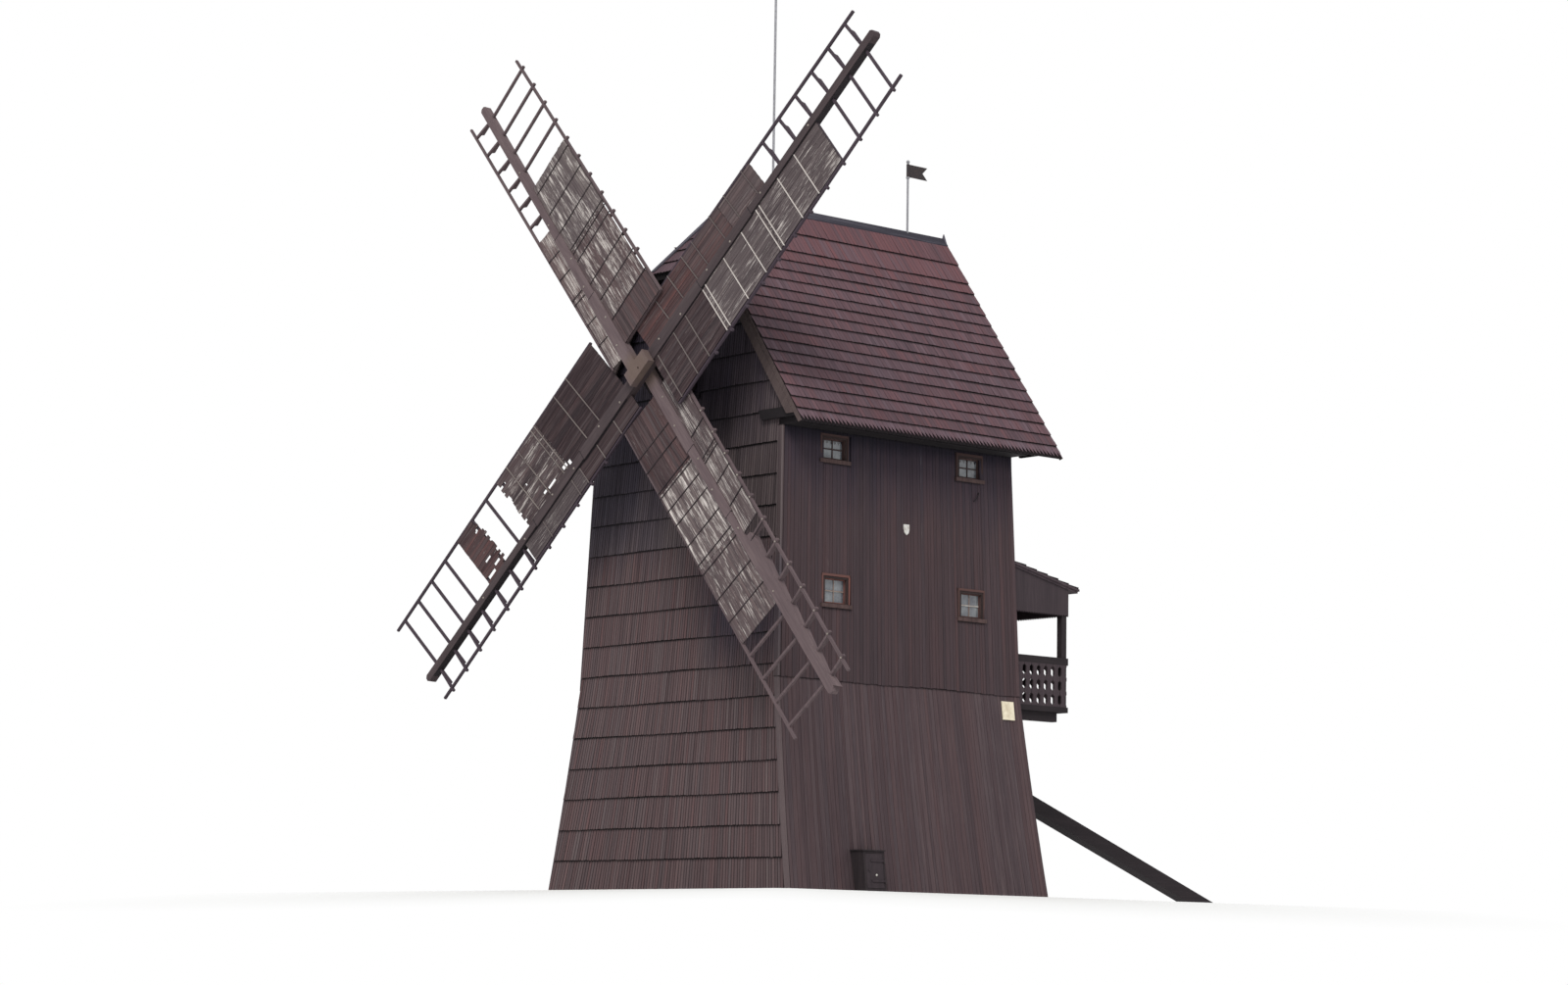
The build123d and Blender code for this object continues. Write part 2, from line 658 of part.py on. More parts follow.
ARMS = {
    "upper_right": Arm(
        0, 0, 0.958, 0.954, 0.0682, -1,
        wide=(0.90, 1.03, 0, [(0.045, 0.254), (0.274, 0.498), (0.510, 0.742)]),
        narrow=(1.20, 1.33, 8, [(0.056, 0.265), (0.274, 0.577)]),
    ),
    "upper_left": Arm(
        90, 1, 0.950, 0.954, 0.0728, -1,
        wide=(1.00, 1.13, 2, [(0.078, 0.148), (0.160, 0.412), (0.422, 0.667)]),
        narrow=(0.88, 0.72, 8, [(0.055, 0.298), (0.308, 0.528)]),
    ),
    "lower_left": Arm(
        180, 0, 0.970, 0.954, 0.0666, 1,
        wide=(1.00, 1.03, 14, [(0.058, 0.305), (0.319, 0.524), (0.629, 0.706)]),
        narrow=(1.01, 0.82, -6, [(0.058, 0.288), (0.297, 0.539)]),
    ),
    "lower_right": Arm(
        270, -1, 1.0, 0.965, 0.0682, 1,
        wide=(0.91, 0.86, 4, [(0.062, 0.262), (0.275, 0.489), (0.513, 0.727)]),
        narrow=(0.91, 1.15, 6, [(0.062, 0.301), (0.316, 0.533)]),
        stepped=True,
    ),
}


def arm_location(name):
    """Frame of one arm: x runs out along the arm, z forward along the shaft."""
    arm = ARMS[name]
    forward = arm.place * (STOCK_T + WHIP_T) / 2
    return SHAFT_PLANE.location * Rot(0, 0, SAIL_TURN + arm.turn) * Pos(0, 0, forward)


def side_location(name, side):
    """Frame of one side of an arm, leaning forward about the arm's own line."""
    return arm_location(name) * Rot(side * ARMS[name].sides[side][2], 0, 0)


def plain_edge(length):
    """Edge of a spliced timber as (s, half width), narrower past each splice and chamfered at its tip."""
    tip = STOCK_TIP_W / 2
    return [
        (INNER_SPLICE, STOCK_W / 2),
        (INNER_SPLICE, STOCK_MIDDLE_W / 2),
        (OUTER_SPLICE, STOCK_MIDDLE_W / 2),
        (OUTER_SPLICE, tip),
        (length - TIP_CUT, tip),
        (length, tip - TIP_CUT),
    ]


def stepped_edge(arm):
    """Leading edge hewn in steps, one to each bar, with a notch in the tip."""
    start = STEPS_FROM * arm.length
    edge = plain_edge(arm.length)[:4] + [(start, STOCK_TIP_W / 2)]
    for s in reversed(arm.bars()):
        if s > start:
            w = STEP_W - STEP_TAPER * (s - start)
            edge += [(s - STEP_RUN, w), (s, w + STEP_OUT)]
    notch = (arm.length - NOTCH_DEEP, (NOTCH_W + NOTCH_FOOT_W) / 2)
    return edge + [(arm.length, NOTCH_W), notch, (arm.length, NOTCH_FOOT_W)]


def timber_half_width(s):
    """Half width of an arm's timber at s."""
    if s < INNER_SPLICE:
        return STOCK_W / 2
    return (STOCK_MIDDLE_W if s < OUTER_SPLICE else STOCK_TIP_W) / 2


def timber(arm, thick, start):
    """Timber of one arm along x, from start to its tip."""
    plain = plain_edge(arm.length)
    upper = [(start, STOCK_W / 2)] + (stepped_edge(arm) if arm.stepped else plain)
    lower = [(x, -y) for x, y in reversed([(start, STOCK_W / 2)] + plain)]
    return extrude(make_face(Polyline(*upper, *lower, close=True)), amount=thick / 2, both=True)


def sail_stock():
    """Through timber of the upper right and lower left arms."""
    names = ("upper_right", "lower_left")
    halves = [arm_location(name) * timber(ARMS[name], STOCK_T, 0) for name in names]
    return halves[0] + halves[1]


def upper_left_whip():
    """Upper left timber, and the board over the hub that it ends in, with a bolt hole."""
    whip = timber(ARMS["upper_left"], WHIP_T, -HUB_BLOCK_DROP)
    t = WHIP_T / 2
    whip += block(-HUB_BLOCK_DROP, STOCK_W / 2, -HUB_BLOCK_UP, HUB_BLOCK_DOWN, -t, t)
    return arm_location("upper_left") * (whip - Pos(*HUB_BOLT_AT, 0) * Cylinder(HUB_BOLT_R, 2 * WHIP_T))


def lower_right_whip():
    """Lower right timber, lapped past the hub."""
    return arm_location("lower_right") * timber(ARMS["lower_right"], WHIP_T, -HEAD_SIDE / 2)


def wide_bar(s, end):
    """Straight bar across the arm at s."""
    return block(s - BAR_W / 2, s + BAR_W / 2, 0, -end, -BAR_T / 2, BAR_T / 2)


def leading_bar(s, end):
    """Bar of the leading side, which deepens to a knee at the back before its thin end."""
    knee = KNEE * end
    outline = [
        (0, BAR_T / 2),
        (end, BAR_T / 2),
        (end, -BAR_T / 2),
        (knee + KNEE_NOTCH, -BAR_T / 2),
        (knee, -BAR_T / 2 - KNEE_DROP),
        (0, -BAR_T / 2),
    ]
    return prism_x(outline, s - BAR_W / 2, s + BAR_W / 2)


def lattice_side(name, side):
    """Bars and edge lath on one side of an arm, as one comb that ends on the arm's timber."""
    arm = ARMS[name]
    s0 = arm.sides[side][3][0][0]
    s1 = arm.first_bar + LATH_END
    outer = [side * arm.reach(side, s) for s in (s0, s1)]
    inner = [w - side * LATH_W for w in outer]
    comb = flat_panel(s0, s1, inner, outer, -BAR_T / 2, BAR_T / 2)
    for s in arm.bars():
        end = arm.reach(side, s) + (BAR_TIP if side == arm.poking and s > PLAIN_BARS else 0)
        comb += wide_bar(s, end) if side < 0 else leading_bar(s, end)
    return side_location(name, side) * comb - arm_location(name) * timber(arm, 6 * STOCK_T, 0)


def flat_panel(s0, s1, inner, outer, z0, z1):
    """Flat piece along an arm from s0 to s1, with the w of its inner and outer edge at both ends."""
    corners = [(s0, inner[0], z0), (s1, inner[1], z0), (s1, outer[1], z0), (s0, outer[0], z0)]
    return extrude(make_face(Polyline(*corners, close=True)), amount=z1 - z0, dir=(0, 0, 1))


def lattice(name):
    """Both combs of one arm."""
    return [lattice_side(name, side) for side in (-1, 1)]


def boards(name):
    """Boarded panels of one arm, lying on the front of its bars."""
    arm = ARMS[name]
    panels = []
    for side in (-1, 1):
        for s0, s1 in arm.sides[side][3]:
            inner = timber_half_width(s0) + BOARD_GAP
            outer = [side * (arm.reach(side, s) - LATH_W - LATH_GAP) for s in (s0, s1)]
            panel = flat_panel(s0, s1, [side * inner, side * inner], outer, BAR_T / 2, BAR_T / 2 + BOARD_T)
            panels.append(side_location(name, side) * panel)
    return panels


def outside(solid):
    """What of a solid lies outside the body and skirt."""
    ends = prism_x(
        [
            (-SKIRT_FOOT_HALF_DEPTH, 0),
            (SKIRT_FOOT_HALF_DEPTH, 0),
            (BODY_HALF_DEPTH, LAP_Z),
            (-BODY_HALF_DEPTH, LAP_Z),
        ],
        -BIG,
        BIG,
    )
    return solid - (skirt_mass(0) & ends) - body_mass(0, LAP_Z, WALL_TOP_Z)


def balcony_floor():
    """Boards of the balcony."""
    z1 = BALCONY_FLOOR_Z
    w = BALCONY_HALF_WIDTH - PANEL_T
    return outside(block(-w, w, 0, BALCONY_Y - PANEL_T, z1 - BALCONY_FLOOR_T, z1))


def balcony_joists():
    """Timbers under the balcony floor, out from the rear wall."""
    z1 = BALCONY_FLOOR_Z - BALCONY_FLOOR_T
    y1 = BALCONY_Y - JOIST_END
    reach = BALCONY_HALF_WIDTH - JOIST_W
    joists = []
    for i in range(BALCONY_JOISTS):
        x = reach * (2 * i / (BALCONY_JOISTS - 1) - 1)
        joists.append(outside(block(x - JOIST_W / 2, x + JOIST_W / 2, 0, y1, z1 - JOIST_H, z1)))
    return joists


def balcony_roof_line(y, drop=0.0):
    """Height of the balcony roof's top face at y."""
    wall = half_depth(BALCONY_ROOF_WALL_Z)
    end = BALCONY_Y + BALCONY_ROOF_OUT
    return BALCONY_ROOF_WALL_Z - drop - BALCONY_ROOF_DROP * (y - wall) / (end - wall)


def balcony_roof_layer(top, bottom, inset):
    """One layer of the lean-to roof between two drops below its top face."""
    y0 = half_depth(BALCONY_ROOF_WALL_Z)
    y1 = BALCONY_Y + BALCONY_ROOF_OUT - inset
    outline = [
        (y0, balcony_roof_line(y0, top)),
        (y1, balcony_roof_line(y1, top)),
        (y1, balcony_roof_line(y1, bottom)),
        (y0, balcony_roof_line(y0, bottom)),
    ]
    w = BALCONY_HALF_WIDTH + 2 * BALCONY_ROOF_REBATE - inset
    return prism_x(outline, -w, w)


def balcony_roof():
    """Lean-to roof from the rear wall, in two layers."""
    upper = balcony_roof_layer(0, BALCONY_ROOF_T / 2, 0)
    lower = balcony_roof_layer(BALCONY_ROOF_T / 2, BALCONY_ROOF_T, BALCONY_ROOF_REBATE)
    return outside(upper + lower)


def post_places():
    """Centres of the balcony posts."""
    x = BALCONY_HALF_WIDTH - PANEL_T - POST_SIDE / 2
    y = BALCONY_Y - PANEL_T - POST_SIDE / 2
    return [(-x, y), (0, y), (x, y)]


def balcony_posts():
    """Posts from the floor to the lean-to roof."""
    posts = []
    for x, y in post_places():
        h = POST_SIDE / 2
        tall = block(x - h, x + h, y - h, y + h, BALCONY_FLOOR_Z, BALCONY_ROOF_WALL_Z)
        above = prism_x(
            [
                (0, balcony_roof_line(0, BALCONY_ROOF_T)),
                (BIG, balcony_roof_line(BIG, BALCONY_ROOF_T)),
                (BIG, BIG),
                (0, BIG),
            ],
            -BIG,
            BIG,
        )
        posts.append(tall - above)
    return posts


def saw_cut(start, end):
    """What is cut from the foot of a boarding to leave saw teeth, as (along, z) pairs."""
    teeth = saw_edge(end - start, PANEL_TOOTH_W, PANEL_TOOTH_H)
    below = PANEL_FOOT_Z - PANEL_TOOTH_H
    return [(start, below)] + [(start + a, PANEL_FOOT_Z + h) for a, h in teeth] + [(end, below)]


def balcony_panels():
    """Boarded upper part of the balcony's two sides and back."""
    under = prism_x(
        [
            (0, PANEL_FOOT_Z),
            (BALCONY_Y, PANEL_FOOT_Z),
            (BALCONY_Y, balcony_roof_line(BALCONY_Y, BALCONY_ROOF_T)),
            (0, balcony_roof_line(0, BALCONY_ROOF_T)),
        ],
        -BALCONY_HALF_WIDTH,
        BALCONY_HALF_WIDTH,
    )
    w = BALCONY_HALF_WIDTH - PANEL_T
    y = BALCONY_Y - PANEL_T
    side_teeth = prism_x(saw_cut(half_depth(PANEL_FOOT_Z), y), -BIG, BIG)
    back_teeth = prism_y(saw_cut(-w, w), y, BIG)
    return outside(under - block(-w, w, 0, y, 0, BIG)) - side_teeth - back_teeth


def balcony_ring(z0, z1):
    """Board round the balcony's two sides and back between two heights."""
    w = BALCONY_HALF_WIDTH
    ring = block(-w, w, 0, BALCONY_Y, z0, z1)
    return outside(ring - block(-w + PANEL_T, w - PANEL_T, 0, BALCONY_Y - PANEL_T, 0, BIG))


def balcony_rails():
    """Handrail, and the board round the edge of the floor."""
    return [balcony_ring(RAIL_Z - RAIL_H, RAIL_Z), balcony_ring(FOOT_RAIL_Z, FOOT_RAIL_Z + FOOT_RAIL_H)]


def baluster_outline():
    """Flat baluster as (w, z) pairs: full width at its ends and between its sawn waists."""
    z0 = FOOT_RAIL_Z + FOOT_RAIL_H
    z1 = RAIL_Z - RAIL_H
    step = (z1 - z0) / BALUSTER_WAISTS
    edge = [(BALUSTER_W / 2, z0)]
    for i in range(BALUSTER_WAISTS):
        middle = z0 + (i + 0.5) * step
        land = (0.5 - WAIST_LAND) * step
        flat = WAIST_FLAT * step / 2
        edge.append((BALUSTER_W / 2, middle - land))
        edge.append((BALUSTER_WAIST / 2, middle - flat))
        edge.append((BALUSTER_WAIST / 2, middle + flat))
        edge.append((BALUSTER_W / 2, middle + land))
    edge.append((BALUSTER_W / 2, z1))
    return edge + [(-w, z) for w, z in reversed(edge)]


def balcony_balusters():
    """Sawn flat balusters between the floor board and the handrail."""
    outline = baluster_outline()
    count = int((BALCONY_Y - BALUSTER_FIRST - half_depth(FOOT_RAIL_Z)) / BALUSTER_PITCH) + 1
    pieces = []
    for x in (-BALCONY_HALF_WIDTH, BALCONY_HALF_WIDTH - PANEL_T):
        for i in range(count):
            y = BALCONY_Y - BALUSTER_FIRST - i * BALUSTER_PITCH
            pieces.append(prism_x([(y + w, z) for w, z in outline], x, x + PANEL_T))
    count = int(2 * (BALCONY_HALF_WIDTH - PANEL_T) / BALUSTER_PITCH)
    for i in range(count):
        x = (i - (count - 1) / 2) * BALUSTER_PITCH
        pieces.append(prism_y([(x + w, z) for w, z in outline], BALCONY_Y - PANEL_T, BALCONY_Y))
    return pieces


def rear_wall():
    """Rear wall with the doorway to the balcony."""
    w = DOOR_W / 2 + DOOR_FRAME_W
    return end_wall(1) - block(-w, w, 0, BIG, LAP_Z + FLOOR_T, LAP_Z + FLOOR_T + DOOR_H + DOOR_FRAME_W)


def balcony_door_frame():
    """Frame set in the rear doorway."""
    z0 = LAP_Z + FLOOR_T
    w = DOOR_W / 2 + DOOR_FRAME_W
    y1 = half_depth(z0) + DOOR_FRAME_PROUD
    y0 = y1 - WALL_T
    whole = block(-w, w, y0, y1, z0, z0 + DOOR_H + DOOR_FRAME_W)
    return whole - block(-DOOR_W / 2, DOOR_W / 2, 0, BIG, z0, z0 + DOOR_H)


def balcony_door():
    """Closed leaf in the rear doorway."""
    z0 = LAP_Z + FLOOR_T
    y1 = half_depth(z0) - DOOR_FRAME_PROUD
    return block(-DOOR_W / 2, DOOR_W / 2, y1 - DOOR_T, y1, z0, z0 + DOOR_H)


def tail_pole():
    """Long pole out of the rear skirt, down to the ground."""
    drop = TAIL_H * math.hypot(1.0, TAIL_SLOPE)
    end = TAIL_TOP_Z / TAIL_SLOPE
    under = (TAIL_TOP_Z - drop) / TAIL_SLOPE
    outline = [
        (TAIL_HEAD_Y, TAIL_TOP_Z - TAIL_SLOPE * TAIL_HEAD_Y),
        (end, 0),
        (under, 0),
        (TAIL_HEAD_Y, TAIL_TOP_Z - drop - TAIL_SLOPE * TAIL_HEAD_Y),
    ]
    return prism_x(outline, -TAIL_W / 2, TAIL_W / 2)


def rear_skirt_wall():
    """Rear skirt with the hole that the tail pole passes through."""
    return skirt_end(1) - tail_pole()


def tail_hanger():
    """Block under the lower floor that holds the head of the tail pole."""
    y1 = TAIL_HEAD_Y + HANGER_L
    z0 = TAIL_TOP_Z - TAIL_SLOPE * y1 - HANGER_DROP
    return block(-TAIL_W / 2, TAIL_W / 2, TAIL_HEAD_Y, y1, z0, LOWER_FLOOR_Z) - tail_pole()


def hatch_face_x(z):
    """Outer face of the hatch at a height."""
    return HATCH_FOOT_X - z * math.tan(math.radians(HATCH_LEAN))


def hatch_hollow():
    """Way through the hatch box and the skirt behind it."""
    y0 = HATCH_FRONT_Y + HATCH_BOARD_T
    y1 = HATCH_REAR_Y - HATCH_BOARD_T
    return block(0, BIG, y0, y1, HATCH_SILL_H, HATCH_TOP_Z - HATCH_BOARD_T)


def hatch_frame():
    """Box standing out of the sloping skirt, open at the front, with a lid board on top."""
    outline = [(0, 0), (HATCH_FOOT_X, 0), (hatch_face_x(HATCH_TOP_Z), HATCH_TOP_Z), (0, HATCH_TOP_Z)]
    whole = prism_y(outline, HATCH_FRONT_Y, HATCH_REAR_Y)
    lid = block(
        0,
        hatch_face_x(HATCH_TOP_Z) + HATCH_LID_OUT,
        HATCH_FRONT_Y - HATCH_LID_OUT,
        HATCH_REAR_Y + HATCH_LID_OUT,
        HATCH_TOP_Z,
        HATCH_TOP_Z + HATCH_LID_T,
    )
    return outside(whole - hatch_hollow() + lid)


def right_skirt_part(y0, y1, z0, z1):
    """Piece of the right skirt wall between four edges."""
    return skirt_side(1) & block(0, BIG, y0, y1, z0, z1)


# The hatch leaf is laid out on the face of its box: x outwards, z up along the lean.
HATCH_FACE = Plane(
    origin=(HATCH_FOOT_X, 0, 0),
    x_dir=(math.cos(math.radians(HATCH_LEAN)), 0, math.sin(math.radians(HATCH_LEAN))),
    z_dir=(-math.sin(math.radians(HATCH_LEAN)), 0, math.cos(math.radians(HATCH_LEAN))),
)
FACE_RISE = 1 / math.cos(math.radians(HATCH_LEAN))
LEAF_FOOT = HATCH_SILL_H * FACE_RISE + DOOR_GAP
LEAF_TOP = (HATCH_TOP_Z - HATCH_BOARD_T) * FACE_RISE - DOOR_GAP
HINGE_X = HINGE_EYE_R + HINGE_EYE_GAP
HINGE_Y = HATCH_REAR_Y - HATCH_BOARD_T / 2


def turned(profile):
    """Piece turned about Z from (radius, height) pairs."""
    return revolve(make_face(Polyline(*[(r, 0, z) for r, z in profile], close=True)), axis=Axis.Z)


def hinge_heights():
    """Middle heights of the two hatch hinges, along the leaf."""
    return (LEAF_FOOT + HINGE_IN, LEAF_TOP - HINGE_IN)


def hatch_hinges():
    """Pins on a plate each, fixed to the rear cheek of the hatch."""
    hinges = []
    for z in hinge_heights():
        foot = z - HINGE_EYE_H / 2
        pin_l = HINGE_EYE_H + PIN_STUB
        pin = Pos(HINGE_X, HINGE_Y, foot + pin_l / 2) * Cylinder(HINGE_PIN_R, pin_l)
        plate = block(0, HINGE_X, HINGE_Y - PIN_FOOT_H / 2, HINGE_Y + PIN_FOOT_H / 2, foot - PIN_FOOT_H, foot)
        pin_foot = Pos(HINGE_X, HINGE_Y, foot - PIN_FOOT_H / 2) * Cylinder(HINGE_EYE_R, PIN_FOOT_H)
        hinges.append(HATCH_FACE.location * (pin + plate + pin_foot))
    return hinges


def hatch_knob():
    """Turned knob on its stem, standing out along x."""
    profile = [
        (0, 0),
        (KNOB_STEM_R, 0),
        (KNOB_STEM_R, KNOB_OUT - 1.2 * KNOB_R),
        (KNOB_R, KNOB_OUT - 0.8 * KNOB_R),
        (KNOB_R, KNOB_OUT - 0.4 * KNOB_R),
        (KNOB_R / 2, KNOB_OUT),
        (0, KNOB_OUT),
    ]
    return Rot(0, 90, 0) * turned(profile)


def hatch_door():
    """Leaf of the hatch with its two eye straps and its knob."""
    y0 = HATCH_FRONT_Y + HATCH_BOARD_T + DOOR_GAP
    y1 = HATCH_REAR_Y - HATCH_BOARD_T - DOOR_GAP
    leaf = block(-HATCH_DOOR_T, 0, y0, y1, LEAF_FOOT, LEAF_TOP)
    for z in hinge_heights():
        foot = z - HINGE_EYE_H / 2 + END_PLAY
        top = foot + HINGE_EYE_H
        eye = Pos(HINGE_X, HINGE_Y, foot + HINGE_EYE_H / 2) * Cylinder(HINGE_EYE_R, HINGE_EYE_H)
        strap = block(STRAP_SEAT, STRAP_SEAT + STRAP_T, y0 + STRAP_SHORT, HINGE_Y, foot, top)
        pad = block(0, STRAP_SEAT, y0 + STRAP_SHORT, y1, foot, top)
        hole = Pos(HINGE_X, HINGE_Y, foot + HINGE_EYE_H / 2) * Cylinder(HINGE_PIN_R + FIT, 2 * HINGE_EYE_H)
        leaf += pad + (strap + eye - hole)
    return HATCH_FACE.location * (leaf + Pos(0, y0 + KNOB_IN, KNOB_Z) * hatch_knob())


def ridge_pole(y, radius, top):
    """Upright rod standing on the ridge cap."""
    rod = Pos(0, y, (RIDGE_Z + top) / 2) * Cylinder(radius, top - RIDGE_Z)
    return rod - ridge_cap()


def vane_pole():
    """Rod with a collar under the pennant and a ball on top."""
    collar = Cylinder(VANE_POLE_R + COLLAR_OUT, COLLAR_H)
    collar = Pos(0, VANE_Y, VANE_FOOT_Z - END_PLAY - COLLAR_H / 2) * collar
    meridian = [math.radians(45 * i - 90) for i in range(5)]
    ball = turned([(BALL_R * math.cos(a), BALL_R * math.sin(a)) for a in meridian])
    pole = ridge_pole(VANE_Y, VANE_POLE_R, VANE_TOP_Z + BALL_R / 2)
    return pole + collar + Pos(0, VANE_Y, VANE_TOP_Z + BALL_R) * ball


def vane_pennant():
    """Swallow-tailed plate on a sleeve that turns on the pole."""
    z0 = VANE_FOOT_Z
    z1 = z0 + VANE_H
    middle = (z0 + z1) / 2
    r = VANE_POLE_R + FIT
    sleeve = Pos(0, VANE_Y, middle) * Cylinder(r + SLEEVE_T, VANE_H)
    y0 = VANE_Y + r + SLEEVE_T / 2
    y1 = VANE_Y + VANE_L
    outline = [(y0, z0), (y1, z0), (y1 - VANE_NOTCH, middle), (y1, z1), (y0, z1)]
    plate = prism_x(outline, -VANE_T / 2, VANE_T / 2)
    return sleeve + plate - Pos(0, VANE_Y, middle) * Cylinder(r, 2 * VANE_H)


def mast():
    """Thin rod on the ridge near its front end."""
    return ridge_pole(MAST_Y, MAST_R, MAST_TOP_Z)


def front_gable():
    """Front gable with the hole for the windshaft."""
    back = along_shaft(NECK_BEAM_Y + 2 * SHAFT_R)
    front = along_shaft(NECK_BEAM_Y - 2 * SHAFT_R)
    return gable(-1) - hewn_shaft(SHAFT_R + SHAFT_HOLE_GAP, back, front)


hatch_y0 = HATCH_FRONT_Y + HATCH_BOARD_T
hatch_y1 = HATCH_REAR_Y - HATCH_BOARD_T
hatch_z1 = HATCH_TOP_Z - HATCH_BOARD_T

nodes = {
    "front_skirt_wall": skirt_end(-1),
    "rear_skirt_wall": rear_skirt_wall(),
    "left_skirt_wall": skirt_side(-1),
    "right_skirt_wall_front": right_skirt_part(-BIG, hatch_y0, 0, BIG),
    "right_skirt_wall_middle": right_skirt_part(hatch_y0, hatch_y1, hatch_z1, BIG),
    "right_skirt_wall_rear": right_skirt_part(hatch_y1, BIG, 0, BIG),
    "front_wall": end_wall(-1),
    "rear_wall": rear_wall(),
    "left_wall": side_wall(-1),
    "right_wall": side_wall(1),
    "front_gable": front_gable(),
    "rear_gable": gable(1),
    "lower_floor": floor(LOWER_FLOOR_Z),
    "upper_floor": floor(UPPER_FLOOR_Z),
    "left_window_frames": window_frames(-1),
    "right_window_frames": window_frames(1),
    "left_window_panes": window_panes(-1),
    "right_window_panes": window_panes(1),
    "left_eaves_plate": eaves_plate(-1),
    "right_eaves_plate": eaves_plate(1),
    "left_roof_slope": roof_slope(-1),
    "right_roof_slope": roof_slope(1),
    "front_half_hip": roof_hip(),
    "ridge_cap": ridge_cap(),
    "front_verge_boards": front_verge_boards(),
    "rear_verge_boards": rear_verge_boards(),
    "neck_beam": neck_beam(),
    "tail_beam": tail_beam(),
    "windshaft": windshaft(),
    "sail_stock": sail_stock(),
    "upper_left_whip": upper_left_whip(),
    "lower_right_whip": lower_right_whip(),
    "balcony_floor": balcony_floor(),
    "balcony_joists": balcony_joists(),
    "balcony_posts": balcony_posts(),
    "balcony_rails": balcony_rails(),
    "balcony_balusters": balcony_balusters(),
    "balcony_panels": balcony_panels(),
    "balcony_roof": balcony_roof(),
    "balcony_door_frame": balcony_door_frame(),
    "balcony_door": balcony_door(),
    "tail_pole": tail_pole(),
    "tail_pole_block": tail_hanger(),
    "hatch_frame": hatch_frame(),
    "hatch_hinges": hatch_hinges(),
    "hatch_door": hatch_door(),
    "vane_pole": vane_pole(),
    "vane_pennant": vane_pennant(),
    "mast": mast(),
}
for arm in ARMS:
    nodes[arm + "_lattice"] = lattice(arm)
    nodes[arm + "_boards"] = boards(arm)

front_foot_y = SKIRT_FOOT_HALF_DEPTH - WALL_T / 2
os.makedirs("parts", exist_ok=True)
for name, shape in nodes.items():
    pieces = shape if isinstance(shape, list) else [shape]
    placed = [Pos(0, front_foot_y, 0) * piece for piece in pieces]
    export_step(placed[0] if len(placed) == 1 else Compound(children=placed), "parts/" + name + ".step")
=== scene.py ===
import json
import math
from functools import reduce

import bpy
import numpy as np
from mathutils import Matrix, Vector


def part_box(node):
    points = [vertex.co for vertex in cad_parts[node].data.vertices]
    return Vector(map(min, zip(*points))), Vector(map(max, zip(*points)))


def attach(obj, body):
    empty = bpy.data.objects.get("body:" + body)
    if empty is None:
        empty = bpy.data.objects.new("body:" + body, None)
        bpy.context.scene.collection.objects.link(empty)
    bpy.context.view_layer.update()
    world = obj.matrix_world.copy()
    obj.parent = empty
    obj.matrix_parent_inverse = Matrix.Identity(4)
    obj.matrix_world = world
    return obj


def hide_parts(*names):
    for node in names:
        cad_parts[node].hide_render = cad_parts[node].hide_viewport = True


# Looks of a boarded post windmill: shingles, upright boards, glazing, sail boards and finishes.
# Metres throughout. X points to the side with the hatch, -Y out of the front, Z up.

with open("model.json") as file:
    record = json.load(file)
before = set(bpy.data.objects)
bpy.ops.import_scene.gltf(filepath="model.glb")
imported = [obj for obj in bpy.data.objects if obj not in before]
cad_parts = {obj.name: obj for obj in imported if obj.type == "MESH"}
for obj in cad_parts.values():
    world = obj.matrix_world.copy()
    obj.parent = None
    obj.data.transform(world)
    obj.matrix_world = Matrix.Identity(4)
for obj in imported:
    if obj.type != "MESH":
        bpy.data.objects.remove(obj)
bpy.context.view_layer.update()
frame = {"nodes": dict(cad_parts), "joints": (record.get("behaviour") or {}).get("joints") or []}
rng = np.random.default_rng(7)

# Sizes of the body, read from its walls
WALL_T = 0.12
SKIRT_BELL = 0.052
wall_lo, wall_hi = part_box("right_wall")
front_lo, front_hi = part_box("front_wall")
MID_Y = (wall_lo.y + wall_hi.y) / 2
LAP_Z = wall_lo.z
TOP_Z = wall_hi.z
LAP_HALF_W = wall_hi.x
TOP_HALF_W = wall_lo.x + WALL_T
LAP_HALF_D = MID_Y - front_lo.y
TOP_HALF_D = MID_Y - front_hi.y + WALL_T
FOOT_HALF_W = -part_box("left_skirt_wall")[0].x
FOOT_HALF_D = MID_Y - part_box("front_skirt_wall")[0].y

# Sizes of the roof
EAVE_LIP = 0.016
ROOF_T = 0.09
slope_lo, slope_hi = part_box("right_roof_slope")
EAVE_X = slope_hi.x
EAVE_Z = slope_lo.z + EAVE_LIP
RIDGE_Z = slope_hi.z
ROOF_Y0 = slope_lo.y
ROOF_Y1 = slope_hi.y
ROOF_RISE = (RIDGE_Z - EAVE_Z) / EAVE_X
ROOF_ANGLE = math.atan(ROOF_RISE)
ROOF_LENGTH = math.hypot(EAVE_X, RIDGE_Z - EAVE_Z)
HIP_EAVE_Z = 11.67
HIP_TOP_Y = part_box("ridge_cap")[0].y
HIP_RISE = (RIDGE_Z - HIP_EAVE_Z) / (HIP_TOP_Y - ROOF_Y0)
HIP_ANGLE = math.atan(HIP_RISE)


def half_width(z):
    """Outside half width: a straight batter above the lap, and below it a chord less a parabola."""
    share = np.clip(z / LAP_Z, 0, 1)
    skirt = FOOT_HALF_W + (LAP_HALF_W - FOOT_HALF_W) * share - 2 * SKIRT_BELL * share * (1 - share)
    body = LAP_HALF_W + (TOP_HALF_W - LAP_HALF_W) * (z - LAP_Z) / (TOP_Z - LAP_Z)
    return np.where(z < LAP_Z, skirt, body)


def half_depth(z):
    """Outside half depth: two straight batters that meet at the lap."""
    skirt = FOOT_HALF_D + (LAP_HALF_D - FOOT_HALF_D) * z / LAP_Z
    body = LAP_HALF_D + (TOP_HALF_D - LAP_HALF_D) * (z - LAP_Z) / (TOP_Z - LAP_Z)
    return np.where(z < LAP_Z, skirt, body)


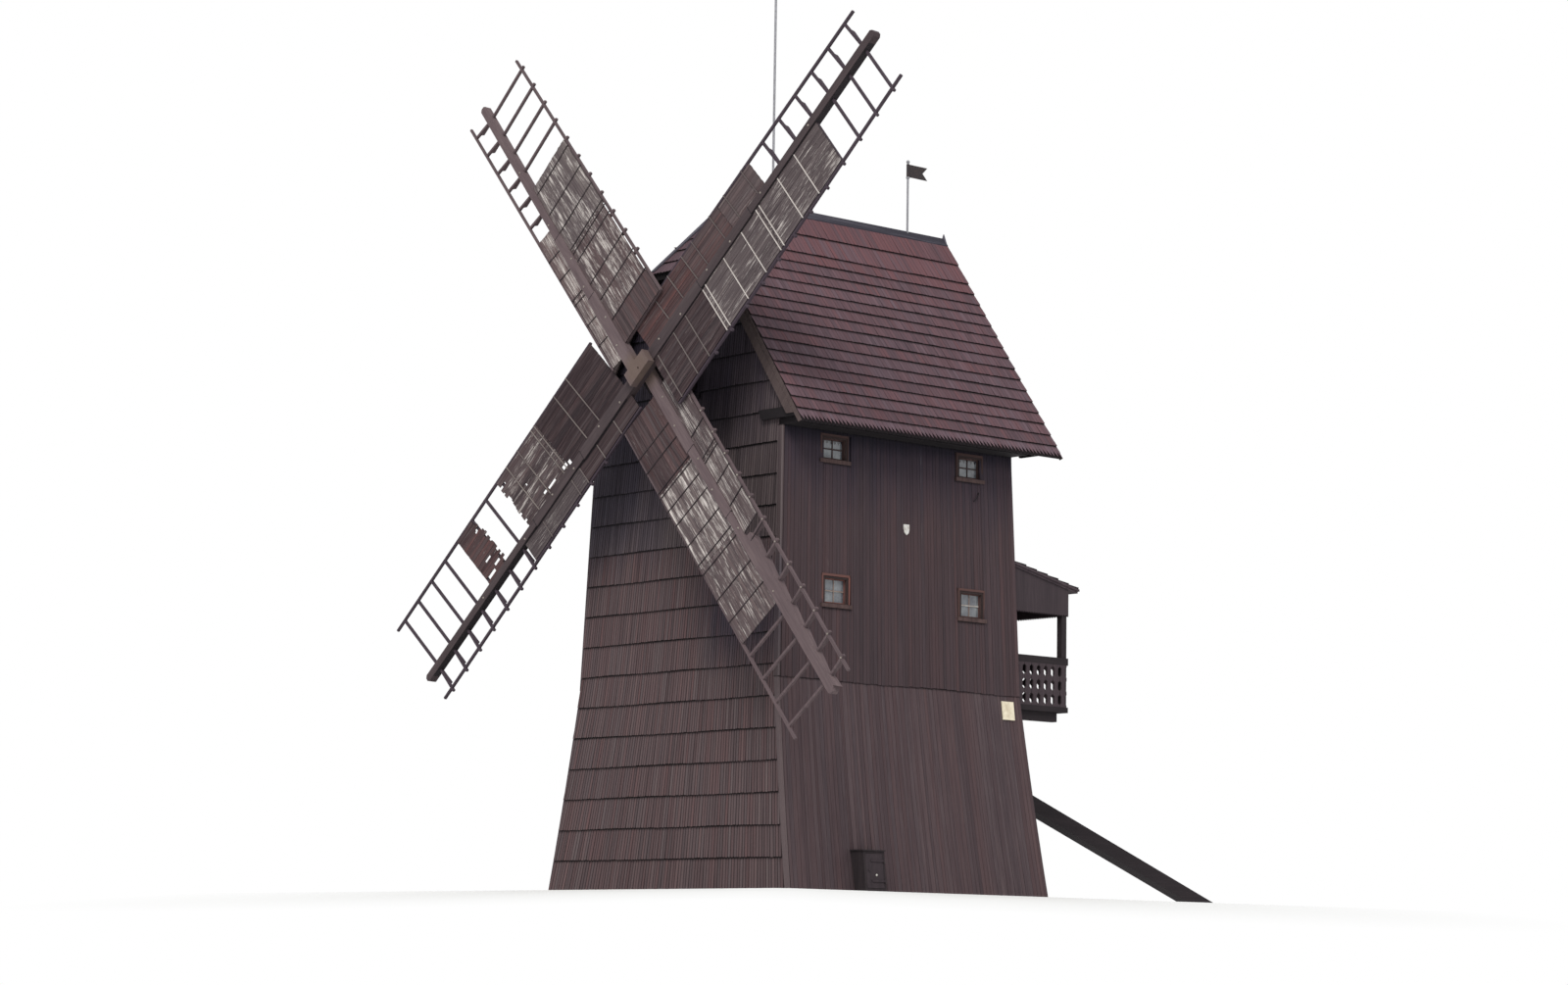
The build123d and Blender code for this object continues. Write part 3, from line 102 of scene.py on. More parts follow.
def roof_z(x):
    """Height of the main slopes' top face at x."""
    return RIDGE_Z - ROOF_RISE * np.abs(x)


class Face:
    """A surface to lay boards on: at(u, v, n) gives the point u across, v along and n out from it.

    Its hand is 1 where u, v and n are right-handed near the given place, and -1 where they aren't."""

    def __init__(self, at, u=0.0, v=5.0):
        self.at = lambda *uvn: np.stack(np.broadcast_arrays(*at(*np.broadcast_arrays(*uvn))), -1)
        here = np.array([u, v, 0.0])
        moved = here + 0.01 * np.eye(3)
        self.hand = 1 if np.linalg.det(self.at(*moved.T) - self.at(*here)) > 0 else -1


def end_face(side):
    """Front (-1) or rear (1) of the mill: u is x and v is height."""
    return Face(lambda u, v, n: (u, MID_Y + side * (half_depth(v) + n), v))


def slope_face(side):
    """Main roof slope: u is y, v runs up the slope from the eave."""
    c = math.cos(ROOF_ANGLE)
    s = math.sin(ROOF_ANGLE)
    return Face(lambda u, v, n: (side * (EAVE_X - v * c + n * s), u, EAVE_Z + v * s + n * c), v=1.0)


def hip_face():
    """Half hip: u is x, v runs up the hip from its foot."""
    c = math.cos(HIP_ANGLE)
    s = math.sin(HIP_ANGLE)
    return Face(lambda u, v, n: (u, ROOF_Y0 + v * c - n * s, HIP_EAVE_Z + v * s + n * c), v=0.5)


# Edges out of sight get painted shade, which also darkens the ends and edges of boards toward their backs.
HIDDEN = -1.0  # height above the foot that marks an edge out of sight
BOARD_BACK = -0.004  # back of a board, just inside the wall


def prism(count):
    """Faces of a prism, with the corners of its back first: back, front and sides."""
    sides = [(k, (k + 1) % count, count + (k + 1) % count, count + k) for k in range(count)]
    return [tuple(range(count))[::-1], tuple(range(count, 2 * count)), *sides]


class Pile:
    """Boards gathered from arrays into the one mesh of a piece.

    Each vertex keeps its place as a vector (across the grain, along it, out), moved at random from board
    to board, its edge as (share across, metres above the foot, metres below the next course), where the
    height of a hidden edge is -1 and the last two carry painted shade, and its board's look as (tone, bleach,
    red), where bleach also carries the battens' painted highlight."""

    def __init__(self):
        self.points = []
        self.faces = []
        self.places = []
        self.edges = []
        self.looks = []
        self.count = 0

    def add(self, face, uvn, faces, edge, look, across=False):
        """Adds items from an array of (u, v, n) with a row of vertices for each item."""
        items, corners = uvn.shape[:2]
        points = face.at(uvn[..., 0], uvn[..., 1], uvn[..., 2])
        first = self.count + np.arange(items)[:, None] * corners
        for loop in faces:
            order = loop if face.hand > 0 else loop[::-1]
            self.faces.extend((first + np.array(order)[None, :]).tolist())
        place = uvn[..., [1, 0, 2]] if across else uvn
        place = place + rng.uniform(0, 9, (items, 1, 3))
        self.points.append(points.reshape(-1, 3))
        self.places.append(place.reshape(-1, 3))
        self.edges.append(edge.reshape(-1, 3))
        self.looks.append(np.repeat(np.broadcast_to(np.atleast_2d(look), (items, 3)), corners, 0))
        self.count += items * corners

    def boards(self, face, u0, u1, v0, v1, n0, n1, look, rows=1, chamfer=0.004, across=False, dark=True):
        """Four-cornered profile carried along v.

        Corner k at station j is (u_k, v_j, n_k), where v_j runs evenly from v0 to v1 and the front
        corners are drawn in by the chamfer. Dark boards have dark joints, and painted shade at the back that
        fades toward the front."""
        u0, u1, v0, v1, n0, n1 = np.broadcast_arrays(*np.atleast_1d(u0, u1, v0, v1, n0, n1))
        share = np.linspace(0, 1, rows + 1)
        v = (v0[:, None] + (v1 - v0)[:, None] * share)[:, :, None].repeat(4, 2)
        u = np.stack([u0, u1, u1 - chamfer, u0 + chamfer], 1)[:, None, :].repeat(rows + 1, 1)
        n = np.stack([n0, n0, n1, n1], 1)[:, None, :].repeat(rows + 1, 1)
        uvn = np.stack([u, v, n], -1).reshape(len(u0), -1, 3)
        side = np.broadcast_to([0.0, 1.0, 1.0, 0.0] if dark else [0.5] * 4, u.shape)
        above = v - v0[:, None, None]
        if dark:
            above[..., :2] = HIDDEN
        edge = np.stack([side, above, v1[:, None, None] - v], -1).reshape(len(u0), -1, 3)
        faces = [(0, 1, 2, 3), tuple(4 * rows + k for k in (3, 2, 1, 0))]
        for j in range(rows):
            for k in range(4):
                a = 4 * j + k
                b = 4 * j + (k + 1) % 4
                faces.append((a, a + 4, b + 4, b))
        self.add(face, uvn, faces, edge, look, across)

    def slats(self, face, u0, u1, v0, tops, over, foot, head, point, look):
        """Slats with a pointed foot and an upper corner at each of two tops: a five-cornered outline between
        the back and a front that falls from foot at v0 to head at the foot of the course over it."""
        left, right = (np.maximum(top, v0 + point + 0.003) for top in tops)
        u = np.stack([u0, (u0 + u1) / 2, u1, u1, u0], 1)
        v = np.stack([v0 + point, v0, v0 + point, right, left], 1)
        above = v - v0[:, None]
        front = foot[:, None] + (head - foot[:, None]) * np.clip(above / (over - v0)[:, None], 0, 1)
        n = np.concatenate([np.full_like(u, BOARD_BACK), front], 1)
        side = np.broadcast_to([0.0, 0.5, 1.0, 1.0, 0.0] * 2, n.shape)
        # The back corners are marked hidden, for painted shade on the backs and under the feet.
        above = np.concatenate([np.full_like(above, HIDDEN), above], 1)
        v = np.concatenate([v, v], 1)
        uvn = np.stack([np.concatenate([u, u], 1), v, n], -1)
        edge = np.stack([side, above, over - v], -1)
        self.add(face, uvn, prism(5), edge, look)

    def plate(self, face, outline, n0, n1, look):
        """Flat piece: its outline of (u, v) corners, anticlockwise, between the levels n0 and n1."""
        outline = np.array(outline)
        count = len(outline)
        levels = np.repeat([n0, n1], count)[:, None]
        uvn = np.concatenate([np.concatenate([outline, outline]), levels], 1)[None]
        edge = np.broadcast_to([0.5, 1.0, 1.0], uvn.shape)
        self.add(face, uvn, prism(count), edge, look)

    def build(self, name, material, body="mill", replaces=()):
        """Makes the mesh, gives it its finish and lets it ride on a body."""
        mesh = bpy.data.meshes.new(name)
        mesh.from_pydata(np.concatenate(self.points).tolist(), [], self.faces)
        for kind, rows in (("place", self.places), ("edge", self.edges), ("look", self.looks)):
            layer = mesh.attributes.new(kind, "FLOAT_VECTOR", "POINT")
            layer.data.foreach_set("vector", np.concatenate(rows).astype(np.float32).ravel())
        return settle(name, mesh, material, body, replaces)


def placed(name, data):
    """New object of the scene that holds a mesh, a lamp or a camera."""
    obj = bpy.data.objects.new(name, data)
    bpy.context.scene.collection.objects.link(obj)
    return obj


def settle(name, mesh, material, body="mill", replaces=()):
    """Puts a finished mesh in the scene, riding on a body."""
    mesh.materials.append(material)
    mesh.update()
    obj = placed(name, mesh)
    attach(obj, body)
    if replaces:
        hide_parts(*replaces)
    return obj


def skinned(name, rings, material, body="mill"):
    """Piece of closed skins over rings of points, an array of (item, ring, corner, xyz)."""
    index = np.arange(rings[..., 0].size).reshape(rings.shape[:3])
    near, far = index[:, :-1], index[:, 1:]
    sides = np.stack([near, np.roll(near, -1, 2), np.roll(far, -1, 2), far], -1).reshape(-1, 4)
    faces = [*sides.tolist(), *index[:, 0, ::-1].tolist(), *index[:, -1].tolist()]
    mesh = bpy.data.meshes.new(name)
    mesh.from_pydata(rings.reshape(-1, 3).tolist(), [], faces)
    return settle(name, mesh, material, body)


def round_about(along, corners):
    """Corners of a circle of radius 1 round each direction: cos t a + sin t b, with a and b square to it."""
    guide = [0.0, 0.0, 1.0] if abs(along[0][2]) < 0.8 else [1.0, 0.0, 0.0]
    a = np.cross(along, guide)
    a /= np.linalg.norm(a, axis=1)[:, None]
    b = np.cross(along, a)
    t = (np.arange(corners) * 2 * math.pi / corners)[:, None]
    return np.cos(t) * a[:, None] + np.sin(t) * b[:, None]


def rod(name, path, radius, material):
    """Six-sided profile carried along a path.

    Ring j lies at path_j + radius (cos t a_j + sin t b_j), with a_j and b_j square to the path there."""
    along = np.gradient(path, axis=0)
    along /= np.linalg.norm(along, axis=1)[:, None]
    rings = path[:, None] + radius * round_about(along, 6)
    skinned(name, rings[None], material).data.shade_smooth()


def studs(name, centres, out, radius, material, body="mill"):
    """Round heads of bolts and knobs, with eight corners.

    Point (t, r) of each is centre + radius (sin r (cos t a + sin t b) + 0.7 cos r out)."""
    out = np.array([out], float)
    r = np.radians([90, 55, 20])[:, None, None]
    head = np.sin(r) * round_about(out, 8) + 0.7 * np.cos(r) * out
    skinned(name, np.array(centres)[:, None, None] + radius * head, material, body)


def srgb(r, g, b):
    """Screen colour from 0 to 255 as a linear colour."""
    c = np.array([r, g, b]) / 255
    c = np.where(c <= 0.04045, c / 12.92, ((c + 0.055) / 1.055) ** 2.4)
    return (*c.tolist(), 1.0)


def put(tree, socket, value):
    """Links a node's output to a socket, or sets a constant on it."""
    if isinstance(value, bpy.types.NodeSocket):
        tree.links.new(value, socket)
    else:
        socket.default_value = value


def wired(tree, kind, inputs, **settings):
    """Outputs of a new node, with its settings made and its inputs, by name or number, linked or set."""
    node = tree.nodes.new("ShaderNode" + kind)
    for name, value in settings.items():
        setattr(node, name, value)
    for name, value in inputs.items():
        put(tree, node.inputs[name], value)
    return node.outputs


class Finish:
    """One procedural material, wired node by node."""

    def __init__(self, name, roughness=0.85, specular=0.25):
        self.material = bpy.data.materials.new(name)
        self.material.use_nodes = True
        self.tree = self.material.node_tree
        self.shader = self.tree.nodes["Principled BSDF"]
        self.shader.inputs["Roughness"].default_value = roughness
        self.shader.inputs["Specular IOR Level"].default_value = specular

    def node(self, kind, inputs, **settings):
        """Outputs of a new node of this material."""
        return wired(self.tree, kind, inputs, **settings)

    def layer(self, name):
        """Vector that each vertex keeps under a name."""
        return self.node("Attribute", {}, attribute_name=name)["Vector"]

    def parts(self, vector):
        """The three numbers of a vector."""
        return tuple(self.node("SeparateXYZ", {0: vector}))

    def object(self):
        """Place in the mill's own frame."""
        return self.node("TexCoord", {})["Object"]

    def stretched(self, vector, scale, turn=(0.0, 0.0, 0.0), shift=(0.0, 0.0, 0.0)):
        """Vector scaled along its axes, then turned, then shifted."""
        inputs = {"Vector": vector, "Scale": scale, "Rotation": turn, "Location": shift}
        return self.node("Mapping", inputs)["Vector"]

    def noise(self, vector, scale=1.0, detail=4.0, roughness=0.6):
        """Noise from 0 to 1."""
        inputs = {"Vector": vector, "Scale": scale, "Detail": detail, "Roughness": roughness}
        return self.node("TexNoise", inputs)["Fac"]

    def math(self, kind, a, b=0.0):
        """Arithmetic on two numbers."""
        return self.node("Math", {0: a, 1: b}, operation=kind)[0]

    def spread(self, value, low, high, to_low=0.0, to_high=1.0):
        """Value moved from the range low to high into another range, and held there."""
        inputs = {"Value": value, "From Min": low, "From Max": high, "To Min": to_low, "To Max": to_high}
        return self.node("MapRange", inputs)["Result"]

    def total(self, *values):
        """Sum of several numbers."""
        return reduce(lambda a, b: self.math("ADD", a, b), values)

    def product(self, *values):
        """Product of several numbers."""
        return reduce(lambda a, b: self.math("MULTIPLY", a, b), values)

    def swing(self, noise, size):
        """Noise moved to lie around 0, with a given size."""
        return self.math("MULTIPLY", self.math("SUBTRACT", noise, 0.5), size)

    def shade(self, colour, patches, blend="MULTIPLY"):
        """Tints in egg-shaped patches with ragged edges: (centre, half sizes, tint, strength)."""
        for centre, sizes, tint, strength in patches:
            scale = tuple(1 / size for size in sizes)
            shift = tuple(-c / size for c, size in zip(centre, sizes))
            place = self.stretched(self.object(), scale, shift=shift)
            far = self.node("VectorMath", {0: place}, operation="LENGTH")["Value"]
            ragged = self.noise(self.stretched(self.object(), (2.5, 2.5, 0.5)), detail=4)
            far = self.total(far, self.swing(ragged, 0.9))
            colour = self.mix(self.spread(far, 0.45, 1.1, strength, 0.0), colour, tint, blend)
        return colour

    def ramp(self, value, stops):
        """Colour between (place, colour) stops."""
        node = self.tree.nodes.new("ShaderNodeValToRGB")
        put(self.tree, node.inputs["Fac"], value)
        elements = node.color_ramp.elements
        while len(elements) < len(stops):
            elements.new(0.5)
        for element, (place, colour) in zip(elements, stops):
            element.position = place
            element.color = colour
        return node.outputs["Color"]

    def mix(self, share, a, b, blend="MIX"):
        """Colour b over colour a by share."""
        inputs = {0: share, 6: a, 7: b}
        return self.node("Mix", inputs, data_type="RGBA", blend_type=blend)[2]

    def colour(self, value):
        """Gives the surface its colour."""
        put(self.tree, self.shader.inputs["Base Color"], value)

    def bump(self, value, distance, strength=0.6):
        """Relief from a height value."""
        inputs = {"Height": value, "Distance": distance, "Strength": strength}
        put(self.tree, self.shader.inputs["Normal"], self.node("Bump", inputs)["Normal"])


def grained(finish, place, tone, wood, grain):
    """Weathered wood and its wide streaks: fine and wide streaks along the grain move the tone on a scale
    of colours from dark to light."""
    fine = finish.noise(finish.stretched(place, (42, 1.6, 30)), detail=4, roughness=0.65)
    wide = finish.noise(finish.stretched(place, (8, 0.45, 6)), detail=3)
    level = finish.total(tone, finish.swing(fine, grain[0]), finish.swing(wide, grain[1]))
    finish.bump(finish.total(fine, wide), 0.003, 0.5)
    return finish.ramp(level, [(0.0, wood[0]), (0.5, wood[1]), (1.0, wood[2])]), wide


def board_finish(name, wood, grain=(0.6, 0.6), joint=(0.08, 0.5), line=(0.03, 0.25), patches=()):
    """Finish of laid boards: dark joints of a share of the width and a painted shade line under the next
    course, each with the level that it darkens to, painted shade on hidden backs fading toward the front,
    cream streaks where bleached, which on bright battens are a painted highlight, and a tint of red."""
    finish = Finish(name)
    across, above, below = finish.parts(finish.layer("edge"))
    # Bleach is the boards' real bleaching, and on the battens a painted highlight.
    tone, bleach, red = finish.parts(finish.layer("look"))
    place = finish.layer("place")
    colour, wide = grained(finish, place, tone, wood, grain)
    colour = finish.mix(finish.product(red, finish.spread(wide, 0.3, 0.7, 0.35, 1.0)), colour, wood[3])
    streaks = finish.noise(finish.stretched(place, (26, 1.8, 24)), detail=5, roughness=0.75)
    worn = finish.noise(finish.object(), scale=2.2, detail=3)
    cream = finish.total(streaks, finish.swing(worn, 0.24), finish.product(bleach, 0.14))
    cream = finish.product(finish.spread(cream, 0.62, 0.80), finish.spread(bleach, 0.0, 0.25))
    colour = finish.mix(cream, colour, wood[4] if len(wood) > 4 else wood[2])
    off = finish.math("ABSOLUTE", finish.math("SUBTRACT", across, 0.5))
    # Joints are the boards' own dark lines; the line under the next course and the dark hidden backs are
    # painted shade.
    dark = finish.product(
        finish.spread(off, 0.5 - joint[0], 0.5, 1.0, joint[1]),
        finish.spread(below, 0.0, line[0], line[1], 1.0),
        finish.spread(above, -0.3, 0.0, 0.12, 1.0),
    )
    finish.colour(finish.shade(finish.mix(1.0, colour, dark, "MULTIPLY"), patches))
    return finish.material


def timber_finish(name, wood, turn=0.0, lie="across", tone=0.5, patches=(), blend="MULTIPLY"):
    """Finish of solid timbers, whose grain runs across, back or up the mill, or is turned about Y."""
    finish = Finish(name)
    quarter = math.pi / 2
    turns = {"across": (0.0, 0.0, quarter), "back": (0.0, 0.0, 0.0), "up": (quarter, 0.0, 0.0)}
    vector = finish.object()
    if turn:
        vector = finish.stretched(vector, (1, 1, 1), (0.0, turn, 0.0))
    vector = finish.stretched(vector, (1, 1, 1), turns[lie])
    colour, _ = grained(finish, vector, tone, wood, (0.5, 0.5))
    finish.colour(finish.shade(colour, patches, blend))
    return finish.material


# Colours of each wood: dark, middle, light, red, and bleached where it has its own
FRONT_WOOD = (srgb(37, 31, 34), srgb(80, 70, 72), srgb(104, 94, 94), srgb(98, 62, 61))
FLANK_WOOD = (srgb(40, 34, 38), srgb(64, 54, 58), srgb(96, 86, 88), srgb(84, 58, 57), srgb(165, 156, 150))
SHINGLE_WOOD = (srgb(44, 37, 43), srgb(79, 64, 71), srgb(110, 95, 104), srgb(102, 66, 69))
# DARK_WOOD is tar on the timbers, and painted shade on the eaves' undersides.
DARK_WOOD = (srgb(18, 15, 18), srgb(36, 30, 33), srgb(60, 52, 54), srgb(48, 36, 34))
VERGE_WOOD = (srgb(40, 33, 34), srgb(78, 66, 65), srgb(110, 98, 94), srgb(90, 62, 58))
# STOCK_WOOD is darker than WHIP_WOOD: partly the stock's own darker brown, partly painted shade.
STOCK_WOOD = (srgb(34, 27, 30), srgb(65, 55, 57), srgb(96, 84, 84), srgb(84, 60, 58))
WHIP_WOOD = (srgb(50, 41, 45), srgb(94, 80, 82), srgb(126, 112, 110), srgb(108, 78, 80))
LATH_WOOD = (srgb(30, 24, 30), srgb(62, 52, 60), srgb(92, 82, 88), srgb(76, 56, 56))
BOARD_WOOD = (srgb(38, 31, 35), srgb(87, 77, 78), srgb(130, 121, 116), srgb(104, 62, 58), srgb(203, 195, 189))
RIDGE_WOOD = (srgb(24, 23, 29), srgb(46, 44, 53), srgb(112, 108, 118), srgb(60, 54, 60))
LEAN_TO_WOOD = (srgb(37, 31, 35), srgb(79, 67, 72), srgb(102, 92, 95), srgb(86, 64, 62))
CASING_WOOD = (srgb(34, 26, 26), srgb(84, 66, 64), srgb(124, 108, 100), srgb(122, 76, 68),
               srgb(196, 196, 190))

# Shaded places of the walls: centre, half sizes, tint and strength
GABLE_SHADE = ((0.0, 0.2, 10.4), (3.4, 3.0, 2.6), srgb(160, 162, 210), 0.7)
FRONT_SHADES = [
    GABLE_SHADE,
    ((-2.4, 0.2, 8.4), (2.6, 3.0, 2.6), srgb(186, 196, 235), 0.7),
    ((1.9, 0.2, 5.2), (1.5, 3.0, 1.3), srgb(150, 160, 200), 0.75),
]
EAVE_SHADES = [
    ((2.8, MID_Y, 9.2), (3.0, 12.0, 2.2), srgb(184, 198, 240), 0.7),
    ((2.8, MID_Y, 8.50), (3.0, 12.0, 0.40), srgb(120, 125, 160), 0.8),
]
VERGE_SHADE = ((0.0, 0.2, 11.6), (2.4, 3.0, 2.2), srgb(150, 150, 165), 0.8)

front_finish = board_finish(
    "front_slats", FRONT_WOOD, grain=(0.35, 0.35), joint=(0.26, 0.35), line=(0.035, 0.12),
    patches=FRONT_SHADES)
flank_finish = board_finish(
    "flank_boards", FLANK_WOOD, grain=(0.6, 0.35), joint=(0.07, 0.82), line=(0.05, 0.3), patches=EAVE_SHADES)
shingle_finish = board_finish(
    "shingles", SHINGLE_WOOD, grain=(0.4, 0.35), joint=(0.10, 0.6), line=(0.055, 0.06))
sail_board_finish = board_finish(
    "sail_boards", BOARD_WOOD, grain=(0.85, 0.5), joint=(0.10, 0.5), line=(0.012, 0.7))
casing_finish = board_finish(
    "window_casings", CASING_WOOD, grain=(0.3, 0.3), joint=(0.05, 0.8), line=(0.004, 0.9))
ridge_board_finish = board_finish("ridge_boards", RIDGE_WOOD, grain=(0.3, 0.3))
balcony_shingle_finish = board_finish(
    "balcony_shingles", LEAN_TO_WOOD, grain=(0.4, 0.35), joint=(0.10, 0.6), line=(0.035, 0.1))


# How boards vary: lengths in metres, and spreads of widths as shares of a width
SHORTEST = 0.02  # below this a piece of a cut board is left out
LEAST_HEIGHT = 0.05  # below this a board under a slope is left out
SAG = 0.006  # of the feet of one course, up and down
JAG = 0.002
SLAT_SPREAD = 0.15
BOARD_SPREAD = 0.25
SHINGLE_SPREAD = 0.12
SAIL_SLAT_SPREAD = 0.2


def widths(start, end, width, spread):
    """Edges of boards of about one width between two ends, each moved a little at random."""
    count = max(1, round((end - start) / width))
    edges = np.linspace(start, end, count + 1)
    edges[1:-1] += rng.uniform(-spread, spread, count - 1) * width
    return edges[:-1], edges[1:]


def cut(rects, holes, least=0.01):
    """Rectangles (u0, u1, v0, v1) with rectangular holes cut out of them, but for slivers.

    Each rectangle that meets a hole is split into what lies left, right, below and above it."""
    for a0, a1, b0, b1 in holes:
        u0, u1, v0, v1 = rects.T
        meets = (u1 > a0) & (u0 < a1) & (v1 > b0) & (v0 < b1)
        u0, u1, v0, v1 = rects[meets].T
        w0 = np.maximum(u0, a0)
        w1 = np.minimum(u1, a1)
        left = u0, np.minimum(u1, a0), v0, v1
        right = np.maximum(u0, a1), u1, v0, v1
        below = w0, w1, v0, np.minimum(v1, b0)
        above = w0, w1, np.maximum(v0, b1), v1
        parts = np.stack([left, right, below, above]).transpose(0, 2, 1).reshape(-1, 4)
        keep = (parts[:, 1] - parts[:, 0] > least) & (parts[:, 3] - parts[:, 2] > SHORTEST)
        rects = np.concatenate([rects[~meets], parts[keep]])
    return rects


# Front wall: courses of narrow upright slats
COURSE = 0.579
SLAT_W = 0.066
SLAT_GAP = 0.002  # from a slat's edge to the line between it and the next
SLAT_LAP = 0.03
SLAT_FOOT = 0.045  # front of a slat at its foot
FOOT_SPREAD = 0.004
SLAT_HEAD = 0.008  # front of a slat where the next course begins
SLAT_POINTS = (0.002, 0.012)  # lengths of the points at their feet
SLATS_UNDER_ROOF = 1.8 * ROOF_T
RED_SLATS_Z = 6.0
COLLAR_W = 0.25  # width of the collar round the windshaft, as a share of its inner half
COLLAR_N = 0.05
CORNER_W = 0.10
CORNER_OUT = 0.010  # how far the corner board reaches round the corner below the lap
CORNER_EXTRA = 0.015  # and how much farther above it
CORNER_LINE_W = 0.016
GABLE_TOP_Z = 11.62
# The sails' axis, read from their joint
sail_joint = next(joint for joint in frame["joints"] if joint["name"] == "sail_turn")
HUB = np.array(sail_joint["pos_m"])
AXIS = np.array(sail_joint["axis"])
SHAFT_CLEAR = 0.30
HUB_PATCH = ((0.08, HUB[1] - 0.15, HUB[2] + 0.03), (0.42, 0.6, 0.42), srgb(98, 83, 73), 0.7)


def looks(count, tone, spread, bleach=0.0, red=0.0):
    """Looks of a number of boards: a tone spread at random, bleaching and red."""
    rows = np.empty((count, 3))
    rows[:, 0] = np.clip(rng.normal(tone, spread, count), 0, 1)
    rows[:, 1] = bleach
    rows[:, 2] = np.clip(red * rng.uniform(0.4, 1.6, count), 0, 1)
    return rows


def shaft_height():
    """Height at which the windshaft passes through the front gable."""
    y = MID_Y - float(half_depth(np.array(HUB[2])))
    return HUB[2] + (y - HUB[1]) * AXIS[2] / AXIS[1]


def front_slats():
    """Slats in lapped courses from the ground to the half hip, cut off under the slopes. They fan out
    with the wall: u is x at the lap, times the half width over the half width there."""
    pile = Pile()

    def fan(u, v, n):
        return u * half_width(np.minimum(v, TOP_Z)) / LAP_HALF_W, MID_Y - half_depth(v) - n, v

    face = Face(fan)
    draw = TOP_HALF_W / LAP_HALF_W
    shaft_z = shaft_height()
    hole = (-SHAFT_CLEAR / draw, SHAFT_CLEAR / draw, shaft_z - SHAFT_CLEAR, shaft_z + SHAFT_CLEAR)
    for foot_z in np.arange(0.0, GABLE_TOP_Z, COURSE):
        top_z = min(foot_z + COURSE + SLAT_LAP, GABLE_TOP_Z)
        half = LAP_HALF_W
        if foot_z > TOP_Z - COURSE / 2:
            half = ((RIDGE_Z - foot_z) / ROOF_RISE - 2 * ROOF_T) / draw
        u0, u1 = widths(-half + SLAT_FOOT, half - CORNER_W, SLAT_W, SLAT_SPREAD)
        sag = SAG * np.sin(u0 * rng.uniform(1, 3) + rng.uniform(0, 6)) + rng.normal(0, JAG, len(u0))
        v0 = foot_z + sag * (foot_z > 0)
        v1 = np.minimum(top_z, roof_z(draw * np.minimum(np.abs(u0), np.abs(u1))) - SLATS_UNDER_ROOF)
        rects = np.stack([u0, u1, v0, v1], 1)
        u0, u1, v0, v1 = cut(rects[v1 - v0 > LEAST_HEIGHT], [hole]).T
        n = len(u0)
        foot = SLAT_FOOT + rng.uniform(-FOOT_SPREAD, FOOT_SPREAD, n)
        tops = [np.minimum(v1, roof_z(draw * u) - SLATS_UNDER_ROOF) for u in (u0, u1)]
        red = 0.3 if foot_z < RED_SLATS_Z else 0.05
        pile.slats(face, u0 + SLAT_GAP, u1 - SLAT_GAP, v0, tops, foot_z + COURSE, foot, SLAT_HEAD,
                   rng.uniform(*SLAT_POINTS, n), looks(n, 0.5, 0.08, red=red))
    inner = SHAFT_CLEAR - 0.01
    outer = inner * (1 + COLLAR_W)
    for u0, u1, v0, v1 in ((-outer, outer, -outer, -inner), (-outer, outer, inner, outer),
                           (-outer, -inner, -inner, inner), (inner, outer, -inner, inner)):
        pile.boards(end_face(-1), u0, u1, shaft_z + v0, shaft_z + v1, 0, COLLAR_N, (0.15, 0, 0))
    pile.build("front_slats", front_finish)


def corner_boards():
    """Corner board of the front, plain below the lap and with two thin light lines above it. Its u runs
    along x from the wall's edge."""
    pile = Pile()
    face = Face(lambda u, v, n: (half_width(v) + u, MID_Y - half_depth(v) - n, v))
    for u0, u1, v0, v1, n0, n1, look in (
        (-CORNER_W, CORNER_OUT, 0.0, LAP_Z, 0, 0.048, (0.60, 0, 0.1)),
        (-CORNER_W, CORNER_OUT + CORNER_EXTRA, LAP_Z, TOP_Z, 0, 0.050, (0.42, 0, 0.1)),
        (-CORNER_W, CORNER_LINE_W - CORNER_W, LAP_Z, TOP_Z, 0.03, 0.056, (0.75, 0, 0)),
        (CORNER_OUT, CORNER_OUT + CORNER_LINE_W, LAP_Z, TOP_Z, 0.03, 0.056, (0.75, 0, 0)),
    ):
        pile.boards(face, u0, u1, v0, v1, n0, n1, look, rows=6, dark=False)
    pile.build("corner_boards", front_finish)


# Flanks and rear: upright boards in two tiers
BOARD_W = 0.088
BOARD_WAVE = 0.010  # wave of the upper tier's feet, up and down
BOARD_WAVES = 2.1
BOARD_JAG = 0.016
UPPER_TIER = (0.030, 1)  # front of the boards and their steps from foot to head
LOWER_TIER = (0.012, 6)
UPPER_TONE = 0.36
REAR_TONE = 0.42
LOWER_TONE = 0.55
# The skirt's boards reach just under the upper tier's feet, so their painted shade line shows below them.
TIER_LAP = 0.004
LOWER_TOP_Z = LAP_Z + TIER_LAP
REAR_UNDER_ROOF = 2.2 * ROOF_T
WINDOW_W = 0.70
WINDOW_YS = (-1.68, 1.77)
LOWER_WINDOW = (5.45, 0.62)  # middle height and height
UPPER_WINDOW = (8.07, 0.54)
WINDOW_FRAME_W = 0.085
WINDOW_HOLES = [
    (y - WINDOW_W / 2, y + WINDOW_W / 2, z - h / 2, z + h / 2)
    for y in WINDOW_YS
    for z, h in (LOWER_WINDOW, UPPER_WINDOW)
]


def level_top(z):
    """Top edge at one height, whatever the place across."""
    return lambda u: np.full_like(u, z)


